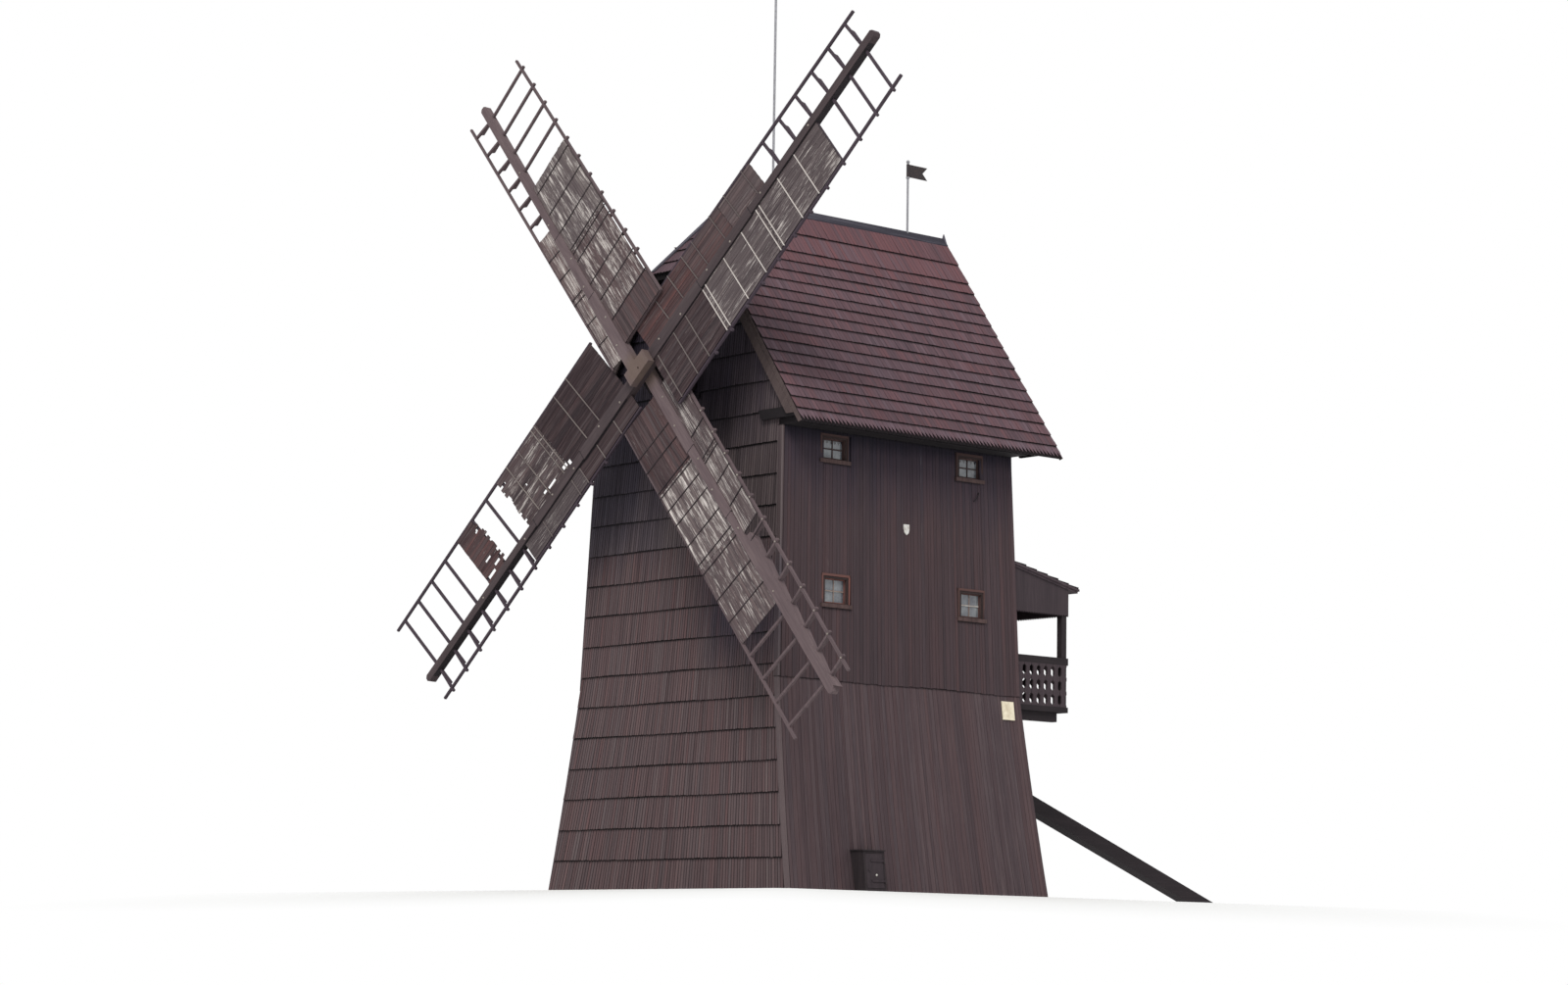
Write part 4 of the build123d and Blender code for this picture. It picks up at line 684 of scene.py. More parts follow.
def upright_boards(pile, face, half, foot_z, top, holes, tier, tone):
    """Upright boards side by side between two edges, from foot_z up to top(u), with a wavy jagged foot."""
    level, rows = tier
    u0, u1 = widths(-half, half, BOARD_W, BOARD_SPREAD)
    wave = BOARD_WAVE * np.sin(BOARD_WAVES * u0) + rng.uniform(-BOARD_JAG, 0.0, len(u0))
    v0 = foot_z + wave * (foot_z > 0)
    v1 = top(np.maximum(np.abs(u0), np.abs(u1)))
    rects = np.stack([u0, u1, v0, v1], 1)
    u0, u1, v0, v1 = cut(rects[v1 > v0 + LEAST_HEIGHT], holes).T
    count = len(u0)
    level = level + rng.uniform(-0.002, 0.002, count)
    look = looks(count, tone, 0.05, red=0.3)
    look[:, 1] = 0.05 * (rng.random(count) < 0.1)
    pile.boards(face, u0, u1, v0, v1, BOARD_BACK, level, look, rows=rows, chamfer=0.003)


def flank_boards(side):
    """Boards of one flank: the body's tier laps over the skirt's. They fan out with the depth: y is u times
    the half depth over the half depth at the lap."""
    pile = Pile()
    face = Face(lambda u, v, n: (side * (half_width(v) + n), MID_Y + u * half_depth(v) / LAP_HALF_D, v))
    half = LAP_HALF_D - 0.01
    upright_boards(pile, face, half, LAP_Z, level_top(TOP_Z), WINDOW_HOLES, UPPER_TIER, UPPER_TONE)
    holes = []
    if side > 0:
        lo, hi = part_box("hatch_frame")
        flare = LAP_HALF_D / FOOT_HALF_D
        holes.append(((lo.y - MID_Y) * flare + 0.03, (hi.y - MID_Y) * flare - 0.01, -1.0, hi.z))
    upright_boards(pile, face, half, 0.0, level_top(LOWER_TOP_Z), holes, LOWER_TIER, LOWER_TONE)
    pile.build("right_boards" if side > 0 else "left_boards", flank_finish)


def rear_boards():
    """Boards of the rear: skirt, body and gable, round the doorway and the tail pole."""
    pile = Pile()
    pole_lo, pole_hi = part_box("tail_pole")
    door_lo, door_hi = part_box("balcony_door_frame")
    fall = (pole_hi.z - pole_lo.z) / (pole_hi.y - pole_lo.y)
    pole_z = pole_hi.z - fall * (MID_Y + LAP_HALF_D - pole_lo.y)
    pole_hole = (pole_lo.x, pole_hi.x, pole_z - 2 * (pole_hi.x - pole_lo.x), pole_z + 0.02)
    door_hole = (door_lo.x, door_hi.x, door_lo.z - 0.1, door_hi.z)
    skirt = Face(lambda u, v, n: (u * half_width(v) / LAP_HALF_W, MID_Y + half_depth(v) + n, v))
    upright_boards(pile, skirt, LAP_HALF_W, 0.0, level_top(LOWER_TOP_Z), [pole_hole], LOWER_TIER, LOWER_TONE)
    upright_boards(pile, end_face(1), TOP_HALF_W, LAP_Z, lambda u: roof_z(u) - REAR_UNDER_ROOF, [door_hole],
                   UPPER_TIER, REAR_TONE)
    pile.build("rear_boards", flank_finish)


# Roof: courses of shingles
EAVE_TEETH = 71
SHINGLE_W = (ROOF_Y1 - ROOF_Y0) / EAVE_TEETH
TOOTH_LENGTH = 0.15
FIRST_COURSE = 0.2925
SHINGLE_COURSE = 0.2856
SHINGLE_COURSES = 16
TOP_COURSE = 0.526
SHINGLE_LAP = 0.04
SHINGLE_FOOT = 0.034
HIP_COURSE = 0.29
HIP_CAP_W = 0.11
HIP_CAP_NS = (0.02, 0.045)
HIP_CAP_LOOK = (0.7, 0, 0)
BALCONY_COURSE = 0.30
BALCONY_DROP = 0.40  # fall of the lean-to roof from the wall to its outer edge


def shingle_rows(pile, face, feet, end, spans, eave_point, limit=None, red=lambda row: 0.3):
    """Lapped rows of shingles with their feet at each place up the slope, cut off slantwise at a limit(u)."""
    for row, (foot_v, top_v) in enumerate(zip(feet, [*feet[1:], end])):
        u0, u1 = widths(*spans(foot_v), SHINGLE_W, SHINGLE_SPREAD * (row > 0))
        n = len(u0)
        wave = SAG * np.sin(u0 * rng.uniform(1, 2.5) + rng.uniform(0, 6)) + rng.normal(0, JAG, n)
        v0 = foot_v + wave * (row > 0)
        v1 = np.full(n, min(top_v + SHINGLE_LAP, end))
        tops = [v1, v1] if limit is None else [np.minimum(v1, limit(u)) for u in (u0, u1)]
        tip = np.full(n, eave_point) if row == 0 else rng.uniform(0.0, 0.008, n)
        foot = SHINGLE_FOOT + rng.uniform(-FOOT_SPREAD, FOOT_SPREAD, n)
        look = looks(n, 0.5 + 0.04 * rng.normal() + 0.15 * (row == 0), 0.06, red=red(row))
        use = np.maximum(*tops) > v0 + 0.03
        u0 = u0 + SLAT_GAP / 2
        u1 = u1 - SLAT_GAP / 2
        left, right, u0, u1, v0, foot, tip = (part[use] for part in (*tops, u0, u1, v0, foot, tip))
        pile.slats(face, u0, u1, v0, (left, right), top_v, foot, SLAT_HEAD, tip, look[use])


def under_hip(u):
    """Place up a main slope where the half hip's plane meets it, at u along the mill."""
    return (HIP_EAVE_Z + (u - ROOF_Y0) * HIP_RISE - EAVE_Z) / math.sin(ROOF_ANGLE)


def slope_shingles(side):
    """Shingles of one main slope, with long pointed feet along the eave and redder under the ridge."""
    feet = [0.0] + [FIRST_COURSE + SHINGLE_COURSE * i for i in range(SHINGLE_COURSES)]
    feet.append(feet[-1] + TOP_COURSE)

    def reddening(row):
        return 0.95 if row > SHINGLE_COURSES - 2 else 0.25 + 0.3 * rng.random()

    pile = Pile()
    shingle_rows(pile, slope_face(side), feet, ROOF_LENGTH, lambda v: (ROOF_Y0, ROOF_Y1), TOOTH_LENGTH,
                 under_hip, reddening)
    pile.build("right_shingles" if side > 0 else "left_shingles", shingle_finish)


def hip_shingles():
    """Shingles of the half hip, and a cap board along each of its two edges, on the hip and on the slope."""
    hip_s = math.sin(HIP_ANGLE)
    hip_length = (RIDGE_Z - HIP_EAVE_Z) / hip_s

    def across(v):
        half = (RIDGE_Z - HIP_EAVE_Z - v * hip_s) / ROOF_RISE
        return -half, half

    def under_slopes(u):
        return (RIDGE_Z - HIP_EAVE_Z - np.abs(u) * ROOF_RISE) / hip_s

    feet = np.arange(-0.06, hip_length - 0.2, HIP_COURSE)
    pile = Pile()
    shingle_rows(pile, hip_face(), feet, hip_length, across, 0.02, under_slopes)
    pile.build("hip_shingles", shingle_finish)
    caps = Pile()
    y0, v0 = ROOF_Y0, under_hip(ROOF_Y0)
    y1, v1 = HIP_TOP_Y, under_hip(HIP_TOP_Y)
    on_slope = [(y0, v0), (y0, v0 - HIP_CAP_W), (y1, v1 - HIP_CAP_W), (y1, v1)]
    for side in (1, -1):
        edge = across(0.0)[1] * side
        inward = HIP_CAP_W * side
        on_hip = [(edge, 0.0), (0.0, hip_length), (-inward, hip_length), (edge - inward, 0.0)]
        caps.plate(hip_face(), on_hip[::side], *HIP_CAP_NS, HIP_CAP_LOOK)
        caps.plate(slope_face(side), on_slope, *HIP_CAP_NS, HIP_CAP_LOOK)
    caps.build("hip_caps", ridge_board_finish)


def balcony_shingles():
    """Shingles on the balcony's lean-to roof, laid from its outer edge up to the wall."""
    lo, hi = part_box("balcony_roof")
    wall_y = MID_Y + float(half_depth(hi.z))
    length = math.hypot(hi.y - wall_y, BALCONY_DROP)
    c = (hi.y - wall_y) / length
    s = BALCONY_DROP / length
    face = Face(lambda u, v, n: (u, hi.y - v * c + n * s, hi.z - BALCONY_DROP + v * s + n * c), v=0.5)
    pile = Pile()
    feet = np.arange(0.0, length - 0.1, BALCONY_COURSE)
    shingle_rows(pile, face, feet, length, lambda v: (lo.x, hi.x), 0.03)
    pile.build("balcony_shingles", balcony_shingle_finish)


# Sails
SAIL_TURN = 42.1
ARM_STEP = 0.15
BAR_T = 0.05
BOARD_T = 0.02
STOCK_T = 0.16
WHIP_T = 0.14
SPLICES = (2.13, 3.90)
TIMBER_HALVES = (0.125, 0.10, 0.08)
LATH_W = 0.045
SAIL_LENGTH = 8.4
SAIL_WIDE = 1.3
SAIL_NARROW = 0.6
SAIL_SLAT_W = 0.062
THINNEST = 0.014  # least thickness of a sail's board
STRAY = 0.008  # of the ends of boards and of the battens, along the arm
BATTEN_W = 0.019
BATTEN_NS = (-0.002, 0.012)  # back and front, from the thickest boards' front
BATTEN_ENDS = (0.02, 0.015)  # clear of the timber and of the lath's edge
# Battens on lit arms get a painted highlight, as cream; battens on shaded arms a painted shade, as a dark
# tone.
BATTEN_HIGHLIGHT = 3.5
DIM_BATTENS = (2.0, 0.75)  # nearer the hub than this the battens are no brighter than this
TIMBER_ENDS = (0.6, 0.2)  # bare lengths at the hub and at the tip
SEAM_W = 0.012
SEAM_NS = (-0.02, 0.003)
# Dark strips on the stock's sides are tar, and painted shade.
DARK_SIDE_T = 0.004
DARK_SIDE_LIP = 0.012  # bright edge left beside the timber's front
BOLTS = ((0.75, 0.05), (1.45, -0.05), (2.45, 0.04), (3.2, -0.04), (4.3, 0.03), (5.9, 0.0))
BOLT_R = 0.022
KNOB_TIP = 8.106
KNOB_STEP = 0.5729
KNOBS = 13
KNOB_R = 0.020


class Arm:
    """One sail arm: its turn in degrees, its place along the shaft, its length as a share, the painted light
    of the battens on the wide and the narrow side, high where they stand lit and low where they stand in
    shade, and each side as (share of the width at the tip, share at the hub, lean in degrees, boarded runs,
    places of battens).

    Each boarded run is from and to along the arm, its tone, bleaching and red, and its gap to the lath."""

    def __init__(self, name, turn, place, length, battens, wide, narrow):
        self.name = name
        self.angle = math.radians(SAIL_TURN + turn)
        self.place = place * ARM_STEP
        self.length = length * SAIL_LENGTH
        self.battens = battens
        self.front = (STOCK_T if place == 0 else WHIP_T) / 2
        self.sides = {-1: (wide[0] * SAIL_WIDE, wide[1] * SAIL_WIDE, *wide[2:]),
                      1: (narrow[0] * SAIL_NARROW, narrow[1] * SAIL_NARROW, *narrow[2:])}

    def reach(self, side, s):
        """Outer edge of the lath at s along the arm."""
        tip, root = self.sides[side][:2]
        return root + (tip - root) * s / self.length

    def timber(self, s):
        """Half width of the arm's timber at s, narrower past each splice."""
        return np.select([s < SPLICES[0], s < SPLICES[1]], TIMBER_HALVES[:2], TIMBER_HALVES[2])

    def face(self, side, lean=None, fan=False):
        """Front of one side: u across from the arm's line, v along the arm, n forward from the bars' middle.

        On a fan, u is the share of the way from the timber to the lath."""
        across = np.array([1.0, 0.0, 0.0])
        up = np.cross(AXIS, across)
        along = math.cos(self.angle) * across + math.sin(self.angle) * up
        out = -math.sin(self.angle) * across + math.cos(self.angle) * up
        lean = math.radians(self.sides[side][2] if lean is None else lean)

        def at(u, v, n):
            inner = self.timber(v)
            w = inner + u * (self.reach(side, v) - LATH_W - inner) if fan else u
            y = side * (w * math.cos(lean) - n * math.sin(lean))
            z = self.place + w * math.sin(lean) + n * math.cos(lean)
            return [HUB[i] + v * along[i] + y * out[i] + z * AXIS[i] for i in range(3)]

        return Face(at, u=0.3, v=3.0)


ARMS = [
    Arm("upper_right", 0, 0, 0.958, battens=(1.5, 0.6),
        wide=(0.90, 1.03, 0,
              [(0.36, 2.12, 0.10, 0.1, 0.1, 0), (2.12, 4.06, 0.42, 0.45, 0, 0),
               (4.06, 6.05, 0.42, 0.5, 0, 0)],
              [5.30, 4.75, 4.11, 4.00, 3.49, 2.88, 2.24, 2.12, 1.50, 1.08, 0.52]),
        narrow=(1.20, 1.33, 8,
                [(0.45, 2.17, 0.2, 0.1, 0.4, 0), (2.17, 3.4, 0.28, 0.1, 0.25, 0),
                 (3.4, 4.47, 0.42, 0.1, 0.12, 0.03)],
                [4.25, 3.65, 3.15, 2.53, 2.17, 1.69, 1.17])),
    Arm("upper_left", 90, 1, 0.950, battens=(0.1, 0.1),
        wide=(1.00, 1.13, 2,
              [(0.62, 1.28, 0.26, 0, 0.2, 0), (1.28, 3.32, 0.42, 0.8, 0.15, 0.025),
               (3.32, 5.32, 0.54, 0.8, 0, 0)],
              [5.11, 4.46, 3.91, 3.38, 3.25, 3.02, 2.36, 1.87, 1.28]),
        narrow=(0.88, 0.72, 8,
                [(0.44, 2.42, 0.55, 0.9, 0.2, 0.025), (2.42, 4.21, 0.52, 0.9, 0.2, 0)],
                [3.62, 3.06, 2.45, 2.30, 1.70, 1.10])),
    Arm("lower_left", 180, 0, 0.970, battens=(0.85, 0.7),
        wide=(1.00, 1.03, 14,
              [(0.47, 2.54, 0.07, 0, 0.1, 0), (2.54, 4.10, 0.28, 0.55, 0.1, 0),
               (4.92, 5.62, 0.2, 0.1, 0.35, 0)],
              [3.66, 3.22, 2.71, 2.59, 1.82, 1.37]),
        narrow=(1.01, 0.82, -6,
                [(0.47, 2.37, 0.12, 0, 0.1, 0), (2.37, 4.39, 0.34, 0.35, 0, 0)],
                [3.75, 2.66, 2.37, 1.73, 1.12])),
    Arm("lower_right", 270, -1, 1.0, battens=(0.1, 0.1),
        wide=(0.91, 0.86, 4,
              [(0.52, 2.26, 0.17, 0.1, 0.2, 0), (2.26, 4.22, 0.52, 0.95, 0.05, 0),
               (4.22, 6.10, 0.46, 0.6, 0.1, 0)],
              [5.55, 5.0, 4.34, 4.10, 3.60, 3.05, 2.67, 2.33, 2.20, 1.64, 1.25]),
        narrow=(0.91, 1.15, 6,
                [(0.52, 2.60, 0.34, 0.7, 0.1, 0), (2.60, 4.48, 0.45, 0.9, 0.1, 0)],
                [4.73, 4.48, 3.80, 3.20, 2.66, 2.53, 1.98])),
]
# Broken places of the lower left arm's wide side: the holes as shares of the width and metres along, and
# the mark past which its runs are torn, one at its outer end and the next at its inner end
TORN_HOLES = [
    (0.0, 0.10, 2.42, 2.50), (0.06, 0.13, 2.56, 2.68), (0.08, 0.13, 2.95, 3.20), (0.10, 0.15, 3.26, 3.36),
    (0.48, 0.53, 3.52, 3.56), (0.06, 0.12, 5.30, 5.60), (0.12, 0.17, 5.05, 5.25), (0.30, 0.34, 5.20, 5.38),
    (0.78, 0.82, 5.10, 5.16),
]
TORN_FROM = 4.0
TORN_DEPTH = 0.06


def sail_boards(arm):
    """Thin boards along one arm, in their runs, with battens across them."""
    pile = Pile()
    for side in (-1, 1):
        runs, battens = arm.sides[side][3:]
        for s0, s1, tone, bleach, red, gap in runs:
            width = arm.reach(side, (s0 + s1) / 2) - LATH_W - TIMBER_HALVES[1]
            u0, u1 = widths(0.0, 1.0 - gap / width, SAIL_SLAT_W / width, SAIL_SLAT_SPREAD)
            count = len(u0)
            v0 = s0 + rng.uniform(0, STRAY, count)
            v1 = s1 - rng.uniform(0, STRAY, count)
            holes = []
            if arm.name == "lower_left" and side < 0:
                holes = TORN_HOLES
                if s1 > TORN_FROM:
                    torn = np.abs(rng.normal(0, TORN_DEPTH, count)) * rng.choice([0.3, 1, 1, 2], count)
                    v1 = v1 - torn * (s0 < TORN_FROM)
                    v0 = v0 + torn * (s0 > TORN_FROM) * 1.4
            u0, u1, v0, v1 = cut(np.stack([u0, u1, v0, v1], 1), holes, 0.002).T
            look = looks(len(u0), tone, 0.05, bleach, red)
            look[:, 1] *= rng.choice([0.5, 1, 1.3], len(u0))
            front = BAR_T / 2 + rng.uniform(THINNEST, BOARD_T, len(u0))
            pile.boards(arm.face(side, fan=True), u0, u1, v0, v1, BAR_T / 2, front, look, rows=3, chamfer=0.0)
        level = BAR_T / 2 + BOARD_T
        for s in battens:
            s += rng.uniform(-STRAY, STRAY)
            # The battens' tone and cream are painted light: bright on the lit arms and dark on the shaded
            # ones.
            tone = arm.battens[0 if side < 0 else 1]
            tone = tone if s > DIM_BATTENS[0] else min(tone, DIM_BATTENS[1])
            look = (min(tone, 1), BATTEN_HIGHLIGHT * max(tone - 0.8, 0), 0)
            u0 = arm.timber(s) + BATTEN_ENDS[0]
            u1 = arm.reach(side, s) - BATTEN_ENDS[1]
            pile.boards(arm.face(side), u0, u1, s - BATTEN_W / 2, s + BATTEN_W / 2, level + BATTEN_NS[0],
                        level + BATTEN_NS[1], look, chamfer=0.002, across=True, dark=False)
    pile.build(arm.name + "_slats", sail_board_finish, "sails", [arm.name + "_boards"])


def timber_details():
    """Dark side faces of the stock's timbers, partly tar and partly painted shade, dark seams of the arms'
    timbers, and the bright heads of their bolts. A knob sits on the end of each bar on the narrow side of the
    lower right arm."""
    dark = Pile()
    heads = []
    for arm in ARMS:
        for side in (-1, 1):
            face = arm.face(side, lean=0)
            ends = (TIMBER_ENDS[0], *SPLICES, arm.length - TIMBER_ENDS[1])
            for s0, s1, half in zip(ends, ends[1:], TIMBER_HALVES):
                if arm.front == STOCK_T / 2:
                    dark.boards(face, half, half + DARK_SIDE_T, s0, s1, DARK_SIDE_T - arm.front,
                                arm.front - DARK_SIDE_LIP, (0.2, 0, 0), chamfer=0.0, dark=False)
        face = arm.face(1, lean=0)
        for s in SPLICES:
            dark.boards(face, -TIMBER_HALVES[1], TIMBER_HALVES[1], s - SEAM_W / 2, s + SEAM_W / 2,
                        arm.front + SEAM_NS[0], arm.front + SEAM_NS[1], (0, 0, 0), chamfer=0.0, dark=False)
        heads += [face.at(w, s, arm.front) for s, w in BOLTS]
    dark.build("timber_seams", tar_and_shade_finish, "sails")
    studs("arm_bolts", heads, AXIS, BOLT_R, bolt_finish, "sails")
    arm = ARMS[-1]
    s = KNOB_TIP - KNOB_STEP * np.arange(KNOBS)
    tips = arm.face(1).at(arm.reach(1, s) - 0.01, s, BAR_T / 2 + 0.004)
    studs("bar_knobs", tips, AXIS, KNOB_R, bolt_finish, "sails")


# Windows
BAR_HALF = 0.011
SASH_W = 0.022
SASH_N = -0.045
SASH_T = 0.02
BAR_TS = (0.016, 0.017)  # of the upright bar and of the cross bar
CASING_NS = (0.018, 0.034)
INNER_CASING_N = 0.026
BETWEEN_ROWS_Z = 6.0


def ring(y0, y1, z0, z1, w):
    """Four rectangles of width w round the inside of an opening: head, foot and both sides."""
    return [(y0, y1, z1 - w, z1), (y0, y1, z0, z0 + w), (y0, y0 + w, z0 + w, z1 - w),
            (y1 - w, y1, z0 + w, z1 - w)]


def windows(side):
    """Casings, sashes and two glazing bars in each window. On the right the front lower casing is redder."""
    pile = Pile()
    for y0, y1, z0, z1 in WINDOW_HOLES:
        x = float(half_width((z0 + z1) / 2))
        face = Face(lambda u, v, n: (side * (x + n), MID_Y + u, v))
        lower = z0 < BETWEEN_ROWS_Z
        look = (0.28, 0, 0.25) if lower else (0.18, 0, 0.1)
        if lower and y0 < 0 and side > 0:
            look = (0.42, 0, 0.85)
        w = WINDOW_FRAME_W
        for index, rect in enumerate(ring(y0, y1, z0, z1, w / 2)):
            pile.boards(face, *rect, *CASING_NS, look, across=index < 2)
        # A near-black inner ring stands for the shaded gap between casing and sash: painted shade.
        for index, rect in enumerate(ring(y0 + w / 2, y1 - w / 2, z0 + w / 2, z1 - w / 2, w / 2)):
            pile.boards(face, *rect, CASING_NS[0], INNER_CASING_N, (0.08, 0, 0), across=index < 2, chamfer=0)
        for rect in ring(y0 + w, y1 - w, z0 + w, z1 - w, SASH_W):
            pile.boards(face, *rect, SASH_N, SASH_N + SASH_T, look, chamfer=0.003, dark=False)
        y0, y1, z0, z1 = y0 + w + SASH_W, y1 - w - SASH_W, z0 + w + SASH_W, z1 - w - SASH_W
        y = (y0 + y1) / 2
        z = (z0 + z1) / 2
        pale = (0.9, 1.0, 0) if lower else (0.2, 0, 0)
        pile.boards(face, y - BAR_HALF, y + BAR_HALF, z0, z1, SASH_N, SASH_N + BAR_TS[0], pale, dark=False)
        pile.boards(face, y0, y1, z - BAR_HALF, z + BAR_HALF, SASH_N, SASH_N + BAR_TS[1], pale, across=True,
                    dark=False)
    pile.build("right_casings" if side > 0 else "left_casings", casing_finish)


# Small things on the walls: their places along the wall from its middle, and up it
HOOK_YS = (2.00, 1.86)
HOOK_ZS = (7.62, 7.44)
HOOK_POINTS = 7
HOOK_REACH = (0.03, 0.04)  # clear of the wall at the ends, and more in the middle
HOOK_R = 0.012
SHIELD_PLACE = (0.10, 6.75)
SHIELD = [(-0.07, 0.0), (-0.05, -0.07), (0.0, -0.11), (0.05, -0.07), (0.07, 0.0), (0.07, 0.09), (-0.07, 0.09)]
PLAQUE = [(2.52, 3.34), (2.83, 3.34), (2.83, 3.69), (2.52, 3.69)]
HATCH_LEAN = math.radians(7.4)  # of the skirt at the hatch
HATCH_KNOB_Z = 0.30
HATCH_KNOB_R = 0.022
PEAK_RISE = 0.09  # of the point over the top of the ridge board
PEAK_T = 0.03


def wall_plate(name, outline, n0, n1, material):
    """Flat plate on the right wall."""
    pile = Pile()
    pile.plate(Face(lambda u, v, n: (half_width(v) + n, MID_Y + u, v)), outline, n0, n1, (0.5, 0, 0))
    pile.build(name, material)


def hook():
    """Thin iron hook on the right wall, bowed out in the middle like a half wave of a sine."""
    y = MID_Y + np.linspace(*HOOK_YS, HOOK_POINTS)
    z = np.linspace(*HOOK_ZS, HOOK_POINTS)
    clear, bow = HOOK_REACH
    x = half_width(z) + clear + bow * np.sin(np.linspace(0, math.pi, HOOK_POINTS))
    rod("hook", np.stack([x, y, z], 1), HOOK_R, tar_and_shade_finish)


def hatch_knob():
    """Knob on the middle line of the hatch's leaf, which leans with the skirt."""
    lo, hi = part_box("hatch_door")
    x = hi.x - (HATCH_KNOB_Z - lo.z) * math.tan(HATCH_LEAN)
    centre = (x, (lo.y + hi.y) / 2, HATCH_KNOB_Z)
    studs("hatch_knob", [centre], (1, 0, 0), HATCH_KNOB_R, white_paint_finish, "hatch")


def ridge_peak():
    """Pointed board at the ridge's rear end, and a pale strip along one side of the ridge board's top, a
    painted highlight.
    """
    peak = Pile()
    lo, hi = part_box("ridge_cap")
    end = Face(lambda u, v, n: (u, hi.y + n, v), v=RIDGE_Z)
    point = [(lo.x, lo.z + 0.02), (hi.x, lo.z + 0.02), (0.0, hi.z + PEAK_RISE)]
    peak.plate(end, point, -PEAK_T, -0.002, (0.8, 0, 0))
    # The pale strip: painted highlight on the ridge board's top.
    u0, u1, v0, v1 = lo.x * 0.75, lo.x * 0.2, hi.z - 0.004, hi.z + 0.01
    peak.plate(end, [(u0, v0), (u1, v0), (u1, v1), (u0, v1)], lo.y - hi.y + 0.02, -PEAK_T, (0.9, 0, 0))
    peak.build("ridge_peak", ridge_board_finish)


def glass_finish():
    """Old glass that mirrors the sky, a little uneven and dusty, its pale grey a painted reflection of the
    sky, with a painted shadow of the eave's teeth dark at its top.
    """
    finish = Finish("old_glass", roughness=0.12, specular=0.8)
    dust = finish.noise(finish.object(), scale=3, detail=5)
    _, y, z = finish.parts(finish.object())
    # Painted shadow of the eave's saw teeth along the top of the upper panes.
    points = finish.math("PINGPONG", y, SHINGLE_W / 2)
    top = UPPER_WINDOW[0] + UPPER_WINDOW[1] / 2 - WINDOW_FRAME_W
    shadow = finish.spread(finish.total(z, finish.product(points, 1.4)), top - 0.04, top - 0.02)
    # The panes' pale grey is a painted reflection of the sky, mottled by dust.
    sky = finish.ramp(dust, [(0.35, srgb(74, 76, 84)), (0.65, srgb(122, 126, 128))])
    finish.colour(finish.mix(shadow, sky, srgb(34, 32, 40)))
    finish.bump(finish.noise(finish.object(), scale=5, detail=1), 0.004, 0.3)
    return finish.material


def plain_finish(name, base, worn, scale=30, **gloss):
    """Iron or paint with dirt or rust in patches."""
    finish = Finish(name, **gloss)
    dirt = finish.noise(finish.object(), scale=scale, detail=6)
    finish.colour(finish.ramp(dirt, [(0.4, base), (0.75, worn)]))
    finish.bump(dirt, 0.001)
    return finish.material


# Near-black finish of the hook, and of the stock's side strips, where it is tar and painted shade.
tar_and_shade_finish = plain_finish("tarred_sides", srgb(30, 26, 30), srgb(48, 42, 44))
bolt_finish = plain_finish("bolt_heads", srgb(150, 142, 134), srgb(96, 84, 76), roughness=0.5)
white_paint_finish = plain_finish("white_paint", srgb(205, 203, 198), srgb(150, 140, 130), 14, roughness=0.6)
cream_paint_finish = plain_finish("cream_paint", srgb(226, 216, 192), srgb(190, 176, 150), 9, roughness=0.6)


def dress(material, nodes):
    """Gives CAD nodes, named in one string, their finish."""
    for node in nodes.split():
        mesh = frame["nodes"][node].data
        mesh.materials.clear()
        mesh.materials.append(material)


